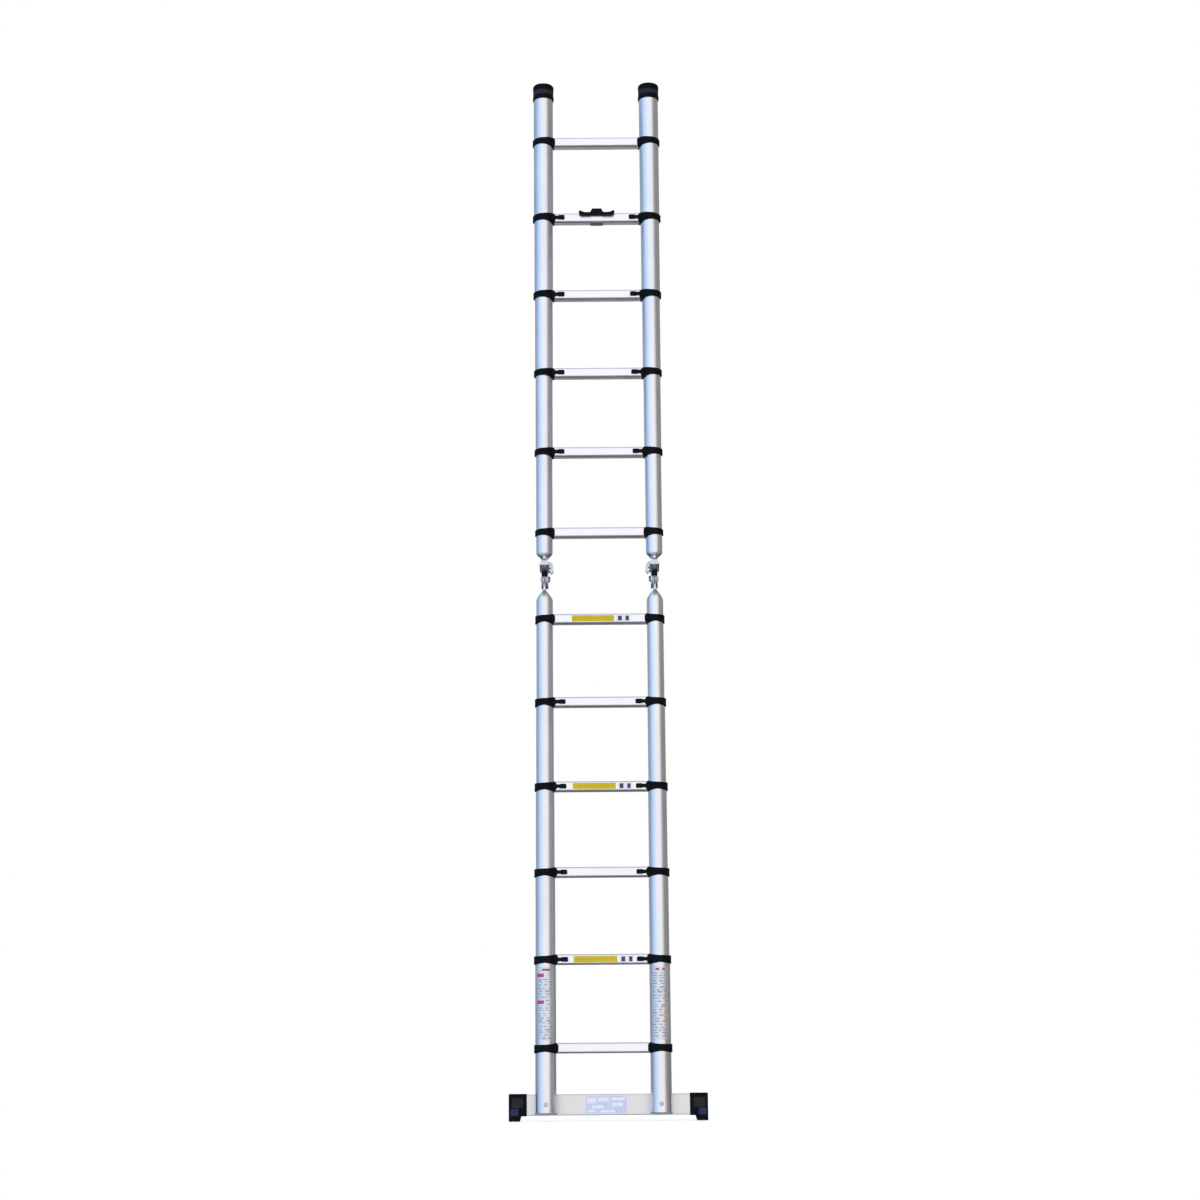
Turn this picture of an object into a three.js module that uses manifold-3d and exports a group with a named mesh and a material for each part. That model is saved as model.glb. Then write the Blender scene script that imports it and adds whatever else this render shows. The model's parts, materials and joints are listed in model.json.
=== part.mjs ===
// Hinged telescopic ladder, opened out straight: two halves of five nested tubes a side, joined by two
// locking hinges. Millimetres, +Z up, -Y is the climbing face. The origin is on the floor, midway
// between the stiles.
import * as THREE from 'three';
import { mergeVertices } from 'three/addons/utils/BufferGeometryUtils.js';
import Module from 'manifold-3d';

const wasm = await Module();
wasm.setup();

// Stiles
const STILE_SPACING = 394.7;
const TUBE_COUNT = 5;
const TUBE_RADIUS = 36;
const TUBE_WALL = 1.3;
const SLIDE_GAP = 0.3;
const TUBE_STEP = TUBE_WALL + SLIDE_GAP;
const TUBE_SIDES = 16;
const CORNER_SEGMENTS = 1;
const TUBE_OVERLAP = 84;
const STILE_FOOT_Z = 23;
const GAP = 0.3;

// Rungs and their collars
const RUNG_PITCH = 300;
const MIDDLE_PITCH = 317;
const FIRST_RUNG_Z = 246;
const RUNG_DEPTH = 42;
const RUNG_HEIGHT = 36;
const RUNG_CORNER = 9;
const RUNG_WALL = 2.2;
const COLLAR_HEIGHT = 27;
const COLLAR_THICKNESS = 4.5;
const COLLAR_LIP = 3;
const SOCKET_REACH = 4.5;
const PIN_BORE_RADIUS = 4.5;

// Thumb slides, measured from the collar's outer face towards the middle of the rung
const SLIDE_TRAVEL = 10;
const SHANK_LENGTH = 14;
const SHANK_HEIGHT = 10;
const KNOB_LENGTH = 24;
const KNOB_HEIGHT = 18;
const KNOB_DEPTH = 6.5;
const STEM_LENGTH = 11;
const STEM_HEIGHT = 7;
const PIN_RADIUS = 4;
const PIN_SIDES = 6;

// Hinges: the pivot stands behind the stiles, so that the halves fold back to back. A rise is measured
// from the pivot's level.
const PIVOT_Z = FIRST_RUNG_Z + TUBE_COUNT * RUNG_PITCH + MIDDLE_PITCH / 2;
const PIVOT_Y = 52;
const PIVOT_PIN_RADIUS = 6;
const PIVOT_HEAD_RADIUS = 11;
const PIVOT_NUT_RADIUS = 10;
const PIVOT_HEAD_REACH = 20;
const PIVOT_NUT_REACH = 16;
const CRIMP_FLAT = 8;
const CRIMP_HALF_WIDTH = 45;
const CRIMP_HALF_THICKNESS = 5.5;
const CRIMP_WALL = 1.9;

// How far each half's pressed tube ends stay from the pivot's level, and how long their shoulders are
const CRIMPS = {
  lower: { away: 50, length: 34 },
  upper: { away: 56, length: 22 },
};
const LEAF_HALF = 3;
const TANG_LENGTH = 18;
const TANG_HALF_WIDTH = 30;
const SHOULDER_FRONT = -34;
const SHOULDER_BACK = 38;
const SHOULDER_HEIGHT = 11;
const HUB_HALF = 7.6;
const HUB_RADIUS = 34;
const CHEEK_INNER = 8;
const CHEEK_OUTER = 12;
const CHEEK_RADIUS = 36;
const CHEEK_FRONT = -30;
const CHEEK_BACK = 72;
const CHEEK_FRONT_RISE = 37;
const CHEEK_TOP_RISE = CRIMPS.upper.away - 0.5;
const BRIDGE_LOW_RISE = HUB_RADIUS + 2.5;
const BRIDGE_TOP_RISE = 48;
const BRIDGE_BACK = PIVOT_Y + 7;
const APRON_HALF = 17;
const APRON_THICKNESS = 4.4;
const APRON_BACK = 21;
const APRON_BACK_RISE = 18;
const BUMPER_HALF = 10;
const BUMPER_FRONT = 6;
const BUMPER_BACK = 15.5;
const BUMPER_LOW_RISE = 4;
const BUMPER_TOP_RISE = 19.5;
const LOCK_Y = PIVOT_Y - 16;
const LOCK_WIDTH = 19;
const LOCK_PIVOT_X = 17;
const LOCK_PIVOT_RISE = 54;
const LOCK_BARREL_RADIUS = 4.6;
const LOCK_PIN_RADIUS = 2.5;
const LOCK_INNER = 21.5;
const LOCK_OUTER = 31;
const LOCK_TIP_RISE = 16;
const LOCK_BOLT_RISE = 24;
const LOCK_BOLT_RADIUS = 4.5;
const EAR_THICKNESS = 3;

// Where the round edge of a leaf starts and ends, as angles from +Y about the pivot
const ROUND_FRONT = 2.6;
const HUB_ROUND_START = -1.75;
const CHEEK_ROUND_END = 2 * Math.PI + 0.35;

// Stabiliser bar and its end feet
const BAR_LENGTH = 684;
const BAR_SHIFT = 16;
const BAR_HEIGHT = 70;
const BAR_DEPTH = 25;
const BAR_WALL = 2;
const BAR_BOTTOM_Z = 20.5;
const FOOT_LENGTH = 62;
const FOOT_WALL = 2.5;
const SOLE_LENGTH = 40;
const SOLE_STEP = 7;
const FOOT_CHAMFER = 3;

// End caps
const CAP_RADIUS = 39.5;
const CAP_HEIGHT = 59;
const CAP_CROWN = 7;
const CAP_DRAFT = 0.5;
const CAP_ROUND = 9;

// Transport latch
const LATCH_SPAN = 133;
const LATCH_THICKNESS = 8;
const HANDLE_LOW = 4;
const HANDLE_WING = 16;
const HANDLE_TIP = 25;
const HANDLE_CURL = 14;
const HANDLE_HUMP = 30;
const HANDLE_HUMP_HALF = 17.5;
const LATCH_ARM_HALF = 14;
const LATCH_ARM_HEIGHT = 7;
const LATCH_BARREL_RADIUS = 5;
const LATCH_AXLE_RADIUS = 2.5;
const LATCH_AXLE_Y = 26;
const LATCH_AXLE_RISE = 24;
const SADDLE_WIDTH = 47;
const SADDLE_WALL = 2.5;
const SADDLE_GAP = 0.8;

const INWARD = { left: 1, right: -1 };
const SIDES = Object.keys(INWARD);

const ladder = new THREE.Group();
ladder.name = 'hinged_telescopic_ladder';

// ---------------------------------------------------------------- materials

const aluminium = (roughness) =>
  new THREE.MeshStandardMaterial({ color: 0xc9cdd2, roughness, metalness: 0.9 });
const blackPlastic = () =>
  new THREE.MeshStandardMaterial({ color: 0x141416, roughness: 0.5, metalness: 0 });
const blackRubber = () =>
  new THREE.MeshStandardMaterial({ color: 0x17181b, roughness: 0.8, metalness: 0 });
const zincSteel = () =>
  new THREE.MeshStandardMaterial({ color: 0x9ba3a8, roughness: 0.4, metalness: 0.95 });

// ---------------------------------------------------------------- solids

function solidOf(geometry) {
  const bare = geometry.index ? geometry.toNonIndexed() : geometry;
  bare.deleteAttribute('normal');
  bare.deleteAttribute('uv');
  const merged = mergeVertices(bare, 1e-4);
  return new wasm.Manifold(new wasm.Mesh({
    numProp: 3,
    vertProperties: new Float32Array(merged.attributes.position.array),
    triVerts: new Uint32Array(merged.index.array),
  }));
}

function geometryOf(solid) {
  const mesh = solid.getMesh();
  const geometry = new THREE.BufferGeometry();
  geometry.setAttribute('position', new THREE.BufferAttribute(new Float32Array(mesh.vertProperties), 3));
  geometry.setIndex(new THREE.BufferAttribute(new Uint32Array(mesh.triVerts), 1));
  geometry.computeVertexNormals();
  return geometry;
}

function joined(solids) {
  return solids.reduce((whole, piece) => whole.add(piece));
}

function cut(solid, tools) {
  return tools.reduce((rest, tool) => rest.subtract(tool), solid);
}

// A box from its lowest corner to its highest corner, in any order.
function box(ax, ay, az, bx, by, bz) {
  const size = [Math.abs(bx - ax), Math.abs(by - ay), Math.abs(bz - az)];
  const geometry = new THREE.BoxGeometry(...size);
  geometry.translate((ax + bx) / 2, (ay + by) / 2, (az + bz) / 2);
  return solidOf(geometry);
}

// A solid turned about the Z axis through (x, 0): each level of the profile is [z, radius].
function turned(levels, x, reshape = null) {
  const bottom = new THREE.Vector2(0, levels[0][0]);
  const top = new THREE.Vector2(0, levels[levels.length - 1][0]);
  const rim = levels.map(([z, radius]) => new THREE.Vector2(radius, z));
  const geometry = new THREE.LatheGeometry([bottom, ...rim, top], TUBE_SIDES);
  geometry.rotateX(Math.PI / 2);
  if (reshape) reshape(geometry.attributes.position);
  geometry.translate(x, 0, 0);
  return solidOf(geometry);
}

// A round bar along X between two ends.
function rodX(startX, endX, radius, y, z, sides = 12) {
  const geometry = new THREE.CylinderGeometry(radius, radius, Math.abs(endX - startX), sides);
  geometry.rotateZ(Math.PI / 2);
  geometry.translate((startX + endX) / 2, y, z);
  return solidOf(geometry);
}

// A round bar along Y between two ends.
function rodY(startY, endY, radius, x, z, sides = 10) {
  const geometry = new THREE.CylinderGeometry(radius, radius, Math.abs(endY - startY), sides);
  geometry.translate(x, (startY + endY) / 2, z);
  return solidOf(geometry);
}

// An outline in the YZ plane, extruded along X between two ends.
function plateX(shape, startX, endX, curveSegments = 7) {
  const depth = Math.abs(endX - startX);
  const geometry = new THREE.ExtrudeGeometry(shape, { depth, bevelEnabled: false, curveSegments });
  geometry.applyMatrix4(new THREE.Matrix4().makeBasis(
    new THREE.Vector3(0, 1, 0), new THREE.Vector3(0, 0, 1), new THREE.Vector3(1, 0, 0)));
  geometry.translate(Math.min(startX, endX), 0, 0);
  return solidOf(geometry);
}

// An outline in the XZ plane, extruded along Y between two ends.
function plateY(shape, startY, endY, curveSegments = 4) {
  const depth = Math.abs(endY - startY);
  const geometry = new THREE.ExtrudeGeometry(shape, { depth, bevelEnabled: false, curveSegments });
  geometry.applyMatrix4(new THREE.Matrix4().makeBasis(
    new THREE.Vector3(1, 0, 0), new THREE.Vector3(0, 0, 1), new THREE.Vector3(0, -1, 0)));
  geometry.translate(0, Math.max(startY, endY), 0);
  return solidOf(geometry);
}

function roundedRectangle(width, height, corner, centreY) {
  const [w, h] = [width / 2 - corner, height / 2 - corner];
  const shape = new THREE.Shape();
  shape.absarc(w, centreY + h, corner, 0, Math.PI / 2);
  shape.absarc(-w, centreY + h, corner, Math.PI / 2, Math.PI);
  shape.absarc(-w, centreY - h, corner, Math.PI, 1.5 * Math.PI);
  shape.absarc(w, centreY - h, corner, 1.5 * Math.PI, 2 * Math.PI);
  return shape;
}

function addPart(group, name, solid, material) {
  const mesh = new THREE.Mesh(geometryOf(solid), material);
  mesh.name = name;
  group.add(mesh);
}

// ---------------------------------------------------------------- places

const stileX = (side) => -INWARD[side] * STILE_SPACING / 2;
const tubeRadius = (tube) => TUBE_RADIUS - (tube - 1) * TUBE_STEP;
const rungZ = (rung) => FIRST_RUNG_Z + (rung - 1) * RUNG_PITCH;

// The tube that a rung's collar grips: rungs 1 and 2 are both on the outermost tube.
const grippedTube = (rung) => Math.max(1, rung - 1);
const hasSlides = (rung) => rung >= 2 && rung <= TUBE_COUNT;

// ---------------------------------------------------------------- stile tubes

// The innermost tube is pressed flat where it takes the hinge: its round section turns into a slot
// shape, thin in X and wide in Y, over a dome-like shoulder.
function crimp(startZ, length, halfThickness, halfWidth) {
  return (position) => {
    for (let i = 0; i < position.count; i += 1) {
      const [x, y, z] = [position.getX(i), position.getY(i), position.getZ(i)];
      const radius = Math.hypot(x, y);
      if (z <= startZ || radius === 0) continue;
      const t = Math.min(1, (z - startZ) / length);
      const pressed = 1 - Math.cos(t * Math.PI / 2);
      const power = 1 - 0.6 * pressed;
      const along = THREE.MathUtils.lerp(radius, halfWidth, pressed);
      const across = THREE.MathUtils.lerp(radius, halfThickness, pressed);
      position.setX(i, Math.sign(x) * across * Math.abs(x / radius) ** power);
      position.setY(i, Math.sign(y) * along * Math.abs(y / radius) ** power);
    }
  };
}

function tubeSkin(radius, levels, x, reshape) {
  return turned(levels.map((z) => [z, radius]), x, reshape);
}

// The hole in a stile's inner side that a lock pin goes through.
function pinHole(side, rung) {
  const x = stileX(side);
  return rodX(x, x + INWARD[side] * (TUBE_RADIUS + 1), PIN_BORE_RADIUS, 0, rungZ(rung), PIN_SIDES);
}

function stileTube(tube, side, pressed) {
  const x = stileX(side);
  const outer = tubeRadius(tube);
  const inner = outer - TUBE_WALL;
  const bottom = tube === 1 ? STILE_FOOT_Z : rungZ(tube) - TUBE_OVERLAP;
  if (tube < TUBE_COUNT) {
    const top = rungZ(tube + 1) + COLLAR_HEIGHT / 2 - COLLAR_LIP;
    const shell = tubeSkin(outer, [bottom, top], x).subtract(tubeSkin(inner, [bottom - 1, top + 1], x));
    const rungsWithHoles = tube === 1 ? [tube + 1] : [tube, tube + 1];
    return cut(shell, rungsWithHoles.map((rung) => pinHole(side, rung)));
  }
  const endZ = PIVOT_Z - pressed.away;
  const startZ = endZ - CRIMP_FLAT - pressed.length;
  const steps = [0, 0.4, 0.75, 1].map((t) => startZ + t * pressed.length);
  const skin = tubeSkin(outer, [bottom, ...steps, endZ], x,
    crimp(startZ, pressed.length, CRIMP_HALF_THICKNESS, CRIMP_HALF_WIDTH));
  const hollow = tubeSkin(inner, [bottom - 1, ...steps, endZ + 1], x,
    crimp(startZ, pressed.length, CRIMP_HALF_THICKNESS - CRIMP_WALL, CRIMP_HALF_WIDTH - CRIMP_WALL));
  return cut(skin, [hollow, pinHole(side, tube)]);
}

// ---------------------------------------------------------------- rungs

function collar(rung, side) {
  const z = rungZ(rung);
  const radius = tubeRadius(grippedTube(rung)) + COLLAR_THICKNESS;
  const half = COLLAR_HEIGHT / 2;
  const ring = turned([[z - half, radius], [z + half, radius]], stileX(side));
  const mouth = roundedRectangle(RUNG_DEPTH + 1, RUNG_HEIGHT + 1, RUNG_CORNER, z);
  const start = stileX(side) + INWARD[side] * radius * 0.6;
  const socket = plateX(mouth, start, stileX(side) + INWARD[side] * (radius + SOCKET_REACH), CORNER_SEGMENTS);
  return ring.add(socket);
}

function collarBores(rung, side) {
  const z = rungZ(rung);
  const x = stileX(side);
  const tube = grippedTube(rung);
  const grip = tubeRadius(tube) + GAP;
  const past = RUNG_HEIGHT;
  const reach = tubeRadius(tube) + COLLAR_THICKNESS + SOCKET_REACH + past;
  const pinBore = rodX(x, x + INWARD[side] * reach, PIN_BORE_RADIUS, 0, z, PIN_SIDES);
  if (!hasSlides(rung)) return [turned([[z - past, grip], [z + past, grip]], x), pinBore];
  const lipZ = z + COLLAR_HEIGHT / 2 - COLLAR_LIP + GAP;
  const throat = tubeRadius(tube + 1) + GAP;
  const lower = turned([[z - past, grip], [lipZ, grip]], x);
  const upper = turned([[lipZ - 1, throat], [z + past, throat]], x);
  return [lower, upper, pinBore, slideSlot(rung, side)];
}

function slideStart(rung, side) {
  return stileX(side) + INWARD[side] * (tubeRadius(grippedTube(rung)) + COLLAR_THICKNESS);
}

function slideSlot(rung, side) {
  const z = rungZ(rung);
  const start = slideStart(rung, side) + INWARD[side] * (SHANK_LENGTH - GAP);
  const end = start + INWARD[side] * (STEM_LENGTH + SLIDE_TRAVEL + 2 * GAP);
  const halfHeight = STEM_HEIGHT / 2 + GAP;
  return box(start, -RUNG_DEPTH, z - halfHeight, end, -RUNG_DEPTH / 4, z + halfHeight);
}

function rungSolid(rung) {
  const z = rungZ(rung);
  const innerEnd = slideStart(rung, 'left') + SOCKET_REACH;
  const tread = roundedRectangle(RUNG_DEPTH, RUNG_HEIGHT, RUNG_CORNER, z);
  const hollow = roundedRectangle(RUNG_DEPTH - 2 * RUNG_WALL, RUNG_HEIGHT - 2 * RUNG_WALL,
    RUNG_CORNER - RUNG_WALL, z);
  const beam = plateX(tread, innerEnd - 1, 1 - innerEnd, CORNER_SEGMENTS);
  const cavity = plateX(hollow, innerEnd, -innerEnd, CORNER_SEGMENTS);
  const body = joined([beam, ...SIDES.map((side) => collar(rung, side))]);
  return cut(body, [cavity, ...SIDES.flatMap((side) => collarBores(rung, side))]);
}

// ---------------------------------------------------------------- thumb slides

// A slide stands at its locked end: the pin's tip is level with the bore of the outer tube.
function thumbSlide(rung, side) {
  const z = rungZ(rung);
  const inward = INWARD[side];
  const face = slideStart(rung, side);
  const front = -RUNG_DEPTH / 2 - GAP;
  const tip = stileX(side) + inward * (tubeRadius(grippedTube(rung)) - TUBE_WALL);
  const knobStart = face + inward * SHANK_LENGTH;
  const knobEnd = knobStart + inward * KNOB_LENGTH;
  const stemEnd = knobStart + inward * STEM_LENGTH;
  const shank = box(face + inward * (SOCKET_REACH + GAP), front - 3, z - SHANK_HEIGHT / 2,
    knobStart + inward, front, z + SHANK_HEIGHT / 2);
  const knob = box(knobStart, front - KNOB_DEPTH, z - KNOB_HEIGHT / 2, knobEnd, front, z + KNOB_HEIGHT / 2);
  const stem = box(knobStart, front - 1, z - STEM_HEIGHT / 2, stemEnd, PIN_RADIUS, z + STEM_HEIGHT / 2);
  const pin = rodX(tip, stemEnd, PIN_RADIUS, 0, z, PIN_SIDES);
  return joined([knob, shank, stem, pin]);
}

// ---------------------------------------------------------------- hinges

// One plate, gripped in the flattened end of the lower tube, with a thick round hub, the pivot bolt and a
// bumper that the upper leaf's apron comes down on.
function lowerLeaf(side) {
  const x = stileX(side);
  const inward = INWARD[side];
  const tubeEnd = PIVOT_Z - CRIMPS.lower.away;
  const seat = tubeEnd + 1;
  const outline = new THREE.Shape();
  outline.moveTo(-TANG_HALF_WIDTH, tubeEnd - TANG_LENGTH);
  outline.lineTo(TANG_HALF_WIDTH, tubeEnd - TANG_LENGTH);
  outline.lineTo(TANG_HALF_WIDTH, seat);
  outline.lineTo(SHOULDER_BACK, seat);
  outline.absarc(PIVOT_Y, PIVOT_Z, HUB_RADIUS, HUB_ROUND_START, ROUND_FRONT);
  outline.lineTo(SHOULDER_FRONT, seat + SHOULDER_HEIGHT);
  outline.lineTo(SHOULDER_FRONT, seat);
  outline.lineTo(-TANG_HALF_WIDTH, seat);
  const plate = plateX(outline, x - LEAF_HALF, x + LEAF_HALF);
  const hub = rodX(x - HUB_HALF, x + HUB_HALF, HUB_RADIUS, PIVOT_Y, PIVOT_Z, 20);
  const headEnd = x + inward * PIVOT_HEAD_REACH;
  const nutEnd = x - inward * PIVOT_NUT_REACH;
  const bolt = rodX(nutEnd, headEnd, PIVOT_PIN_RADIUS, PIVOT_Y, PIVOT_Z);
  const head = rodX(x + inward * (CHEEK_OUTER + GAP), headEnd, PIVOT_HEAD_RADIUS, PIVOT_Y, PIVOT_Z, 6);
  const nut = rodX(x - inward * (CHEEK_OUTER + GAP), nutEnd, PIVOT_NUT_RADIUS, PIVOT_Y, PIVOT_Z, 6);
  const bumper = box(x - BUMPER_HALF, BUMPER_FRONT, PIVOT_Z + BUMPER_LOW_RISE,
    x + BUMPER_HALF, BUMPER_BACK, PIVOT_Z + BUMPER_TOP_RISE);
  return joined([plate, hub, bolt, head, nut, bumper]);
}

function cheek(x, startX, endX) {
  const outline = new THREE.Shape();
  outline.moveTo(CHEEK_BACK, PIVOT_Z + BRIDGE_TOP_RISE);
  outline.lineTo(-CHEEK_FRONT, PIVOT_Z + BRIDGE_TOP_RISE);
  outline.lineTo(-CHEEK_FRONT, PIVOT_Z + CHEEK_TOP_RISE);
  outline.lineTo(CHEEK_FRONT, PIVOT_Z + CHEEK_TOP_RISE);
  outline.lineTo(CHEEK_FRONT, PIVOT_Z + CHEEK_FRONT_RISE);
  outline.absarc(PIVOT_Y, PIVOT_Z, CHEEK_RADIUS, ROUND_FRONT, CHEEK_ROUND_END);
  return plateX(outline, x + startX, x + endX);
}

// The sloping plate under the front of the cheeks, a little wider than they are.
function apron(x) {
  const outline = new THREE.Shape();
  const front = CHEEK_FRONT - 1;
  const low = PIVOT_Z + CHEEK_FRONT_RISE - 0.4;
  const backLow = PIVOT_Z + APRON_BACK_RISE;
  outline.moveTo(front, low + APRON_THICKNESS);
  outline.lineTo(front, low);
  outline.lineTo(APRON_BACK, backLow);
  outline.lineTo(APRON_BACK + 1.5, backLow + APRON_THICKNESS - 0.9);
  return plateX(outline, x - APRON_HALF, x + APRON_HALF);
}

// Two cheeks either side of the lower leaf's hub, a head, a bridge and an apron across them, a tang
// gripped in the upper tube, and two ears with the pin that the lock lever turns on. The bridge is lower
// than the head, so that it passes the lower tube's pressed end when the ladder is folded.
function upperLeaf(side) {
  const x = stileX(side);
  const inward = INWARD[side];
  const bridgeLow = PIVOT_Z + BRIDGE_LOW_RISE;
  const tubeEnd = PIVOT_Z + CRIMPS.upper.away;
  const head = box(x - CHEEK_OUTER, CHEEK_FRONT, bridgeLow,
    x + CHEEK_OUTER, -CHEEK_FRONT, PIVOT_Z + CHEEK_TOP_RISE);
  const bridge = box(x - CHEEK_OUTER, 0, bridgeLow, x + CHEEK_OUTER, BRIDGE_BACK, PIVOT_Z + BRIDGE_TOP_RISE);
  const tang = box(x - LEAF_HALF, -TANG_HALF_WIDTH, tubeEnd - 1, x + LEAF_HALF, TANG_HALF_WIDTH,
    tubeEnd + TANG_LENGTH);
  const lockZ = PIVOT_Z + LOCK_PIVOT_RISE;
  const lockX = x + inward * LOCK_PIVOT_X;
  const reach = LOCK_WIDTH / 2 + GAP;
  const ears = [-1, 1].map((end) => box(x + inward * (CHEEK_OUTER - 1), LOCK_Y + end * reach, bridgeLow,
    lockX + inward * LOCK_BARREL_RADIUS, LOCK_Y + end * (reach + EAR_THICKNESS), lockZ + LOCK_BARREL_RADIUS));
  const lockPin = rodY(LOCK_Y - reach - 1, LOCK_Y + reach + 1, LOCK_PIN_RADIUS, lockX, lockZ);
  const body = joined([
    head, bridge, tang, apron(x), ...ears, lockPin,
    cheek(x, CHEEK_INNER, CHEEK_OUTER),
    cheek(x, -CHEEK_OUTER, -CHEEK_INNER),
  ]);
  return cut(body, [
    rodX(x - APRON_HALF, x + APRON_HALF, PIVOT_PIN_RADIUS + GAP + 0.1, PIVOT_Y, PIVOT_Z),
    rodX(x, x + inward * APRON_HALF, LOCK_BOLT_RADIUS + 1.5, LOCK_Y, PIVOT_Z + LOCK_BOLT_RISE),
  ]);
}

// A thick bowed lever that swings out at its lower end and draws the lock bolt out of the hub.
function hingeLock(side) {
  const x = stileX(side);
  const inward = INWARD[side];
  const place = (dx, rise) => [x + inward * dx, PIVOT_Z + rise];
  const top = LOCK_PIVOT_RISE + LOCK_BARREL_RADIUS;
  const underBarrel = LOCK_PIVOT_RISE - LOCK_BARREL_RADIUS;
  const middle = (top + LOCK_TIP_RISE) / 2;
  const outline = new THREE.Shape();
  outline.moveTo(...place(LOCK_PIVOT_X, top));
  outline.quadraticCurveTo(...place(LOCK_OUTER, top), ...place(LOCK_OUTER, middle));
  outline.quadraticCurveTo(...place(LOCK_OUTER, LOCK_TIP_RISE), ...place(LOCK_INNER, LOCK_TIP_RISE));
  outline.lineTo(...place(LOCK_INNER, middle));
  outline.quadraticCurveTo(...place(LOCK_INNER, underBarrel), ...place(LOCK_PIVOT_X, underBarrel));
  const [front, back] = [LOCK_Y - LOCK_WIDTH / 2, LOCK_Y + LOCK_WIDTH / 2];
  const bow = plateY(outline, front, back, 5);
  const [lockX, lockZ] = place(LOCK_PIVOT_X, LOCK_PIVOT_RISE);
  const barrel = rodY(front, back, LOCK_BARREL_RADIUS, lockX, lockZ);
  const bolt = rodX(x + inward * CHEEK_INNER, x + inward * (LOCK_INNER + 1), LOCK_BOLT_RADIUS,
    LOCK_Y, PIVOT_Z + LOCK_BOLT_RISE, 8);
  const bore = rodY(front - 1, back + 1, LOCK_PIN_RADIUS + GAP + 0.1, lockX, lockZ);
  return joined([bow, barrel, bolt]).subtract(bore);
}

// ---------------------------------------------------------------- foot end and top end

function stabiliserBar() {
  const half = BAR_LENGTH / 2 - FOOT_WALL - GAP;
  const front = TUBE_RADIUS + GAP;
  const top = BAR_BOTTOM_Z + BAR_HEIGHT;
  const outer = box(BAR_SHIFT - half, front, BAR_BOTTOM_Z, BAR_SHIFT + half, front + BAR_DEPTH, top);
  const inner = box(BAR_SHIFT - half - 1, front + BAR_WALL, BAR_BOTTOM_Z + BAR_WALL,
    BAR_SHIFT + half + 1, front + BAR_DEPTH - BAR_WALL, top - BAR_WALL);
  return outer.subtract(inner);
}

// A cap over the end of the bar, with a sole on its outer part that reaches the floor.
function barFoot(side) {
  const outward = -INWARD[side];
  const end = BAR_SHIFT + outward * BAR_LENGTH / 2;
  const front = TUBE_RADIUS + GAP - FOOT_WALL;
  const back = TUBE_RADIUS + GAP + BAR_DEPTH + FOOT_WALL;
  const bottom = BAR_BOTTOM_Z - FOOT_WALL;
  const top = BAR_BOTTOM_Z + BAR_HEIGHT + FOOT_WALL;
  const outline = new THREE.Shape();
  const place = (dx, z) => [end - outward * dx, z];
  outline.moveTo(...place(FOOT_CHAMFER, top));
  outline.lineTo(...place(FOOT_LENGTH, top));
  outline.lineTo(...place(FOOT_LENGTH, bottom));
  outline.lineTo(...place(SOLE_LENGTH + SOLE_STEP, bottom));
  outline.lineTo(...place(SOLE_LENGTH, SOLE_STEP));
  outline.lineTo(...place(SOLE_LENGTH - FOOT_CHAMFER, 0));
  outline.lineTo(...place(FOOT_CHAMFER, 0));
  outline.lineTo(...place(0, FOOT_CHAMFER));
  outline.lineTo(...place(0, top - FOOT_CHAMFER));
  const pocket = box(end - outward * FOOT_WALL, front + FOOT_WALL - GAP, BAR_BOTTOM_Z - GAP,
    end - outward * (FOOT_LENGTH + 1), back - FOOT_WALL + GAP, BAR_BOTTOM_Z + BAR_HEIGHT + GAP);
  return plateY(outline, front, back).subtract(pocket);
}

function endCap(side) {
  const tubeTop = 2 * PIVOT_Z - STILE_FOOT_Z;
  const top = tubeTop + CAP_CROWN;
  const bottom = top - CAP_HEIGHT;
  const x = stileX(side);
  const outer = turned([
    [bottom, CAP_RADIUS - CAP_DRAFT],
    [bottom + 3, CAP_RADIUS],
    [top - CAP_ROUND, CAP_RADIUS - CAP_DRAFT],
    [top - CAP_ROUND / 3, CAP_RADIUS - CAP_ROUND / 3],
    [top, CAP_RADIUS - CAP_ROUND],
  ], x);
  return outer.subtract(turned([[bottom - 1, TUBE_RADIUS + GAP], [tubeTop + GAP, TUBE_RADIUS + GAP]], x));
}

// ---------------------------------------------------------------- transport latch

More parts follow.
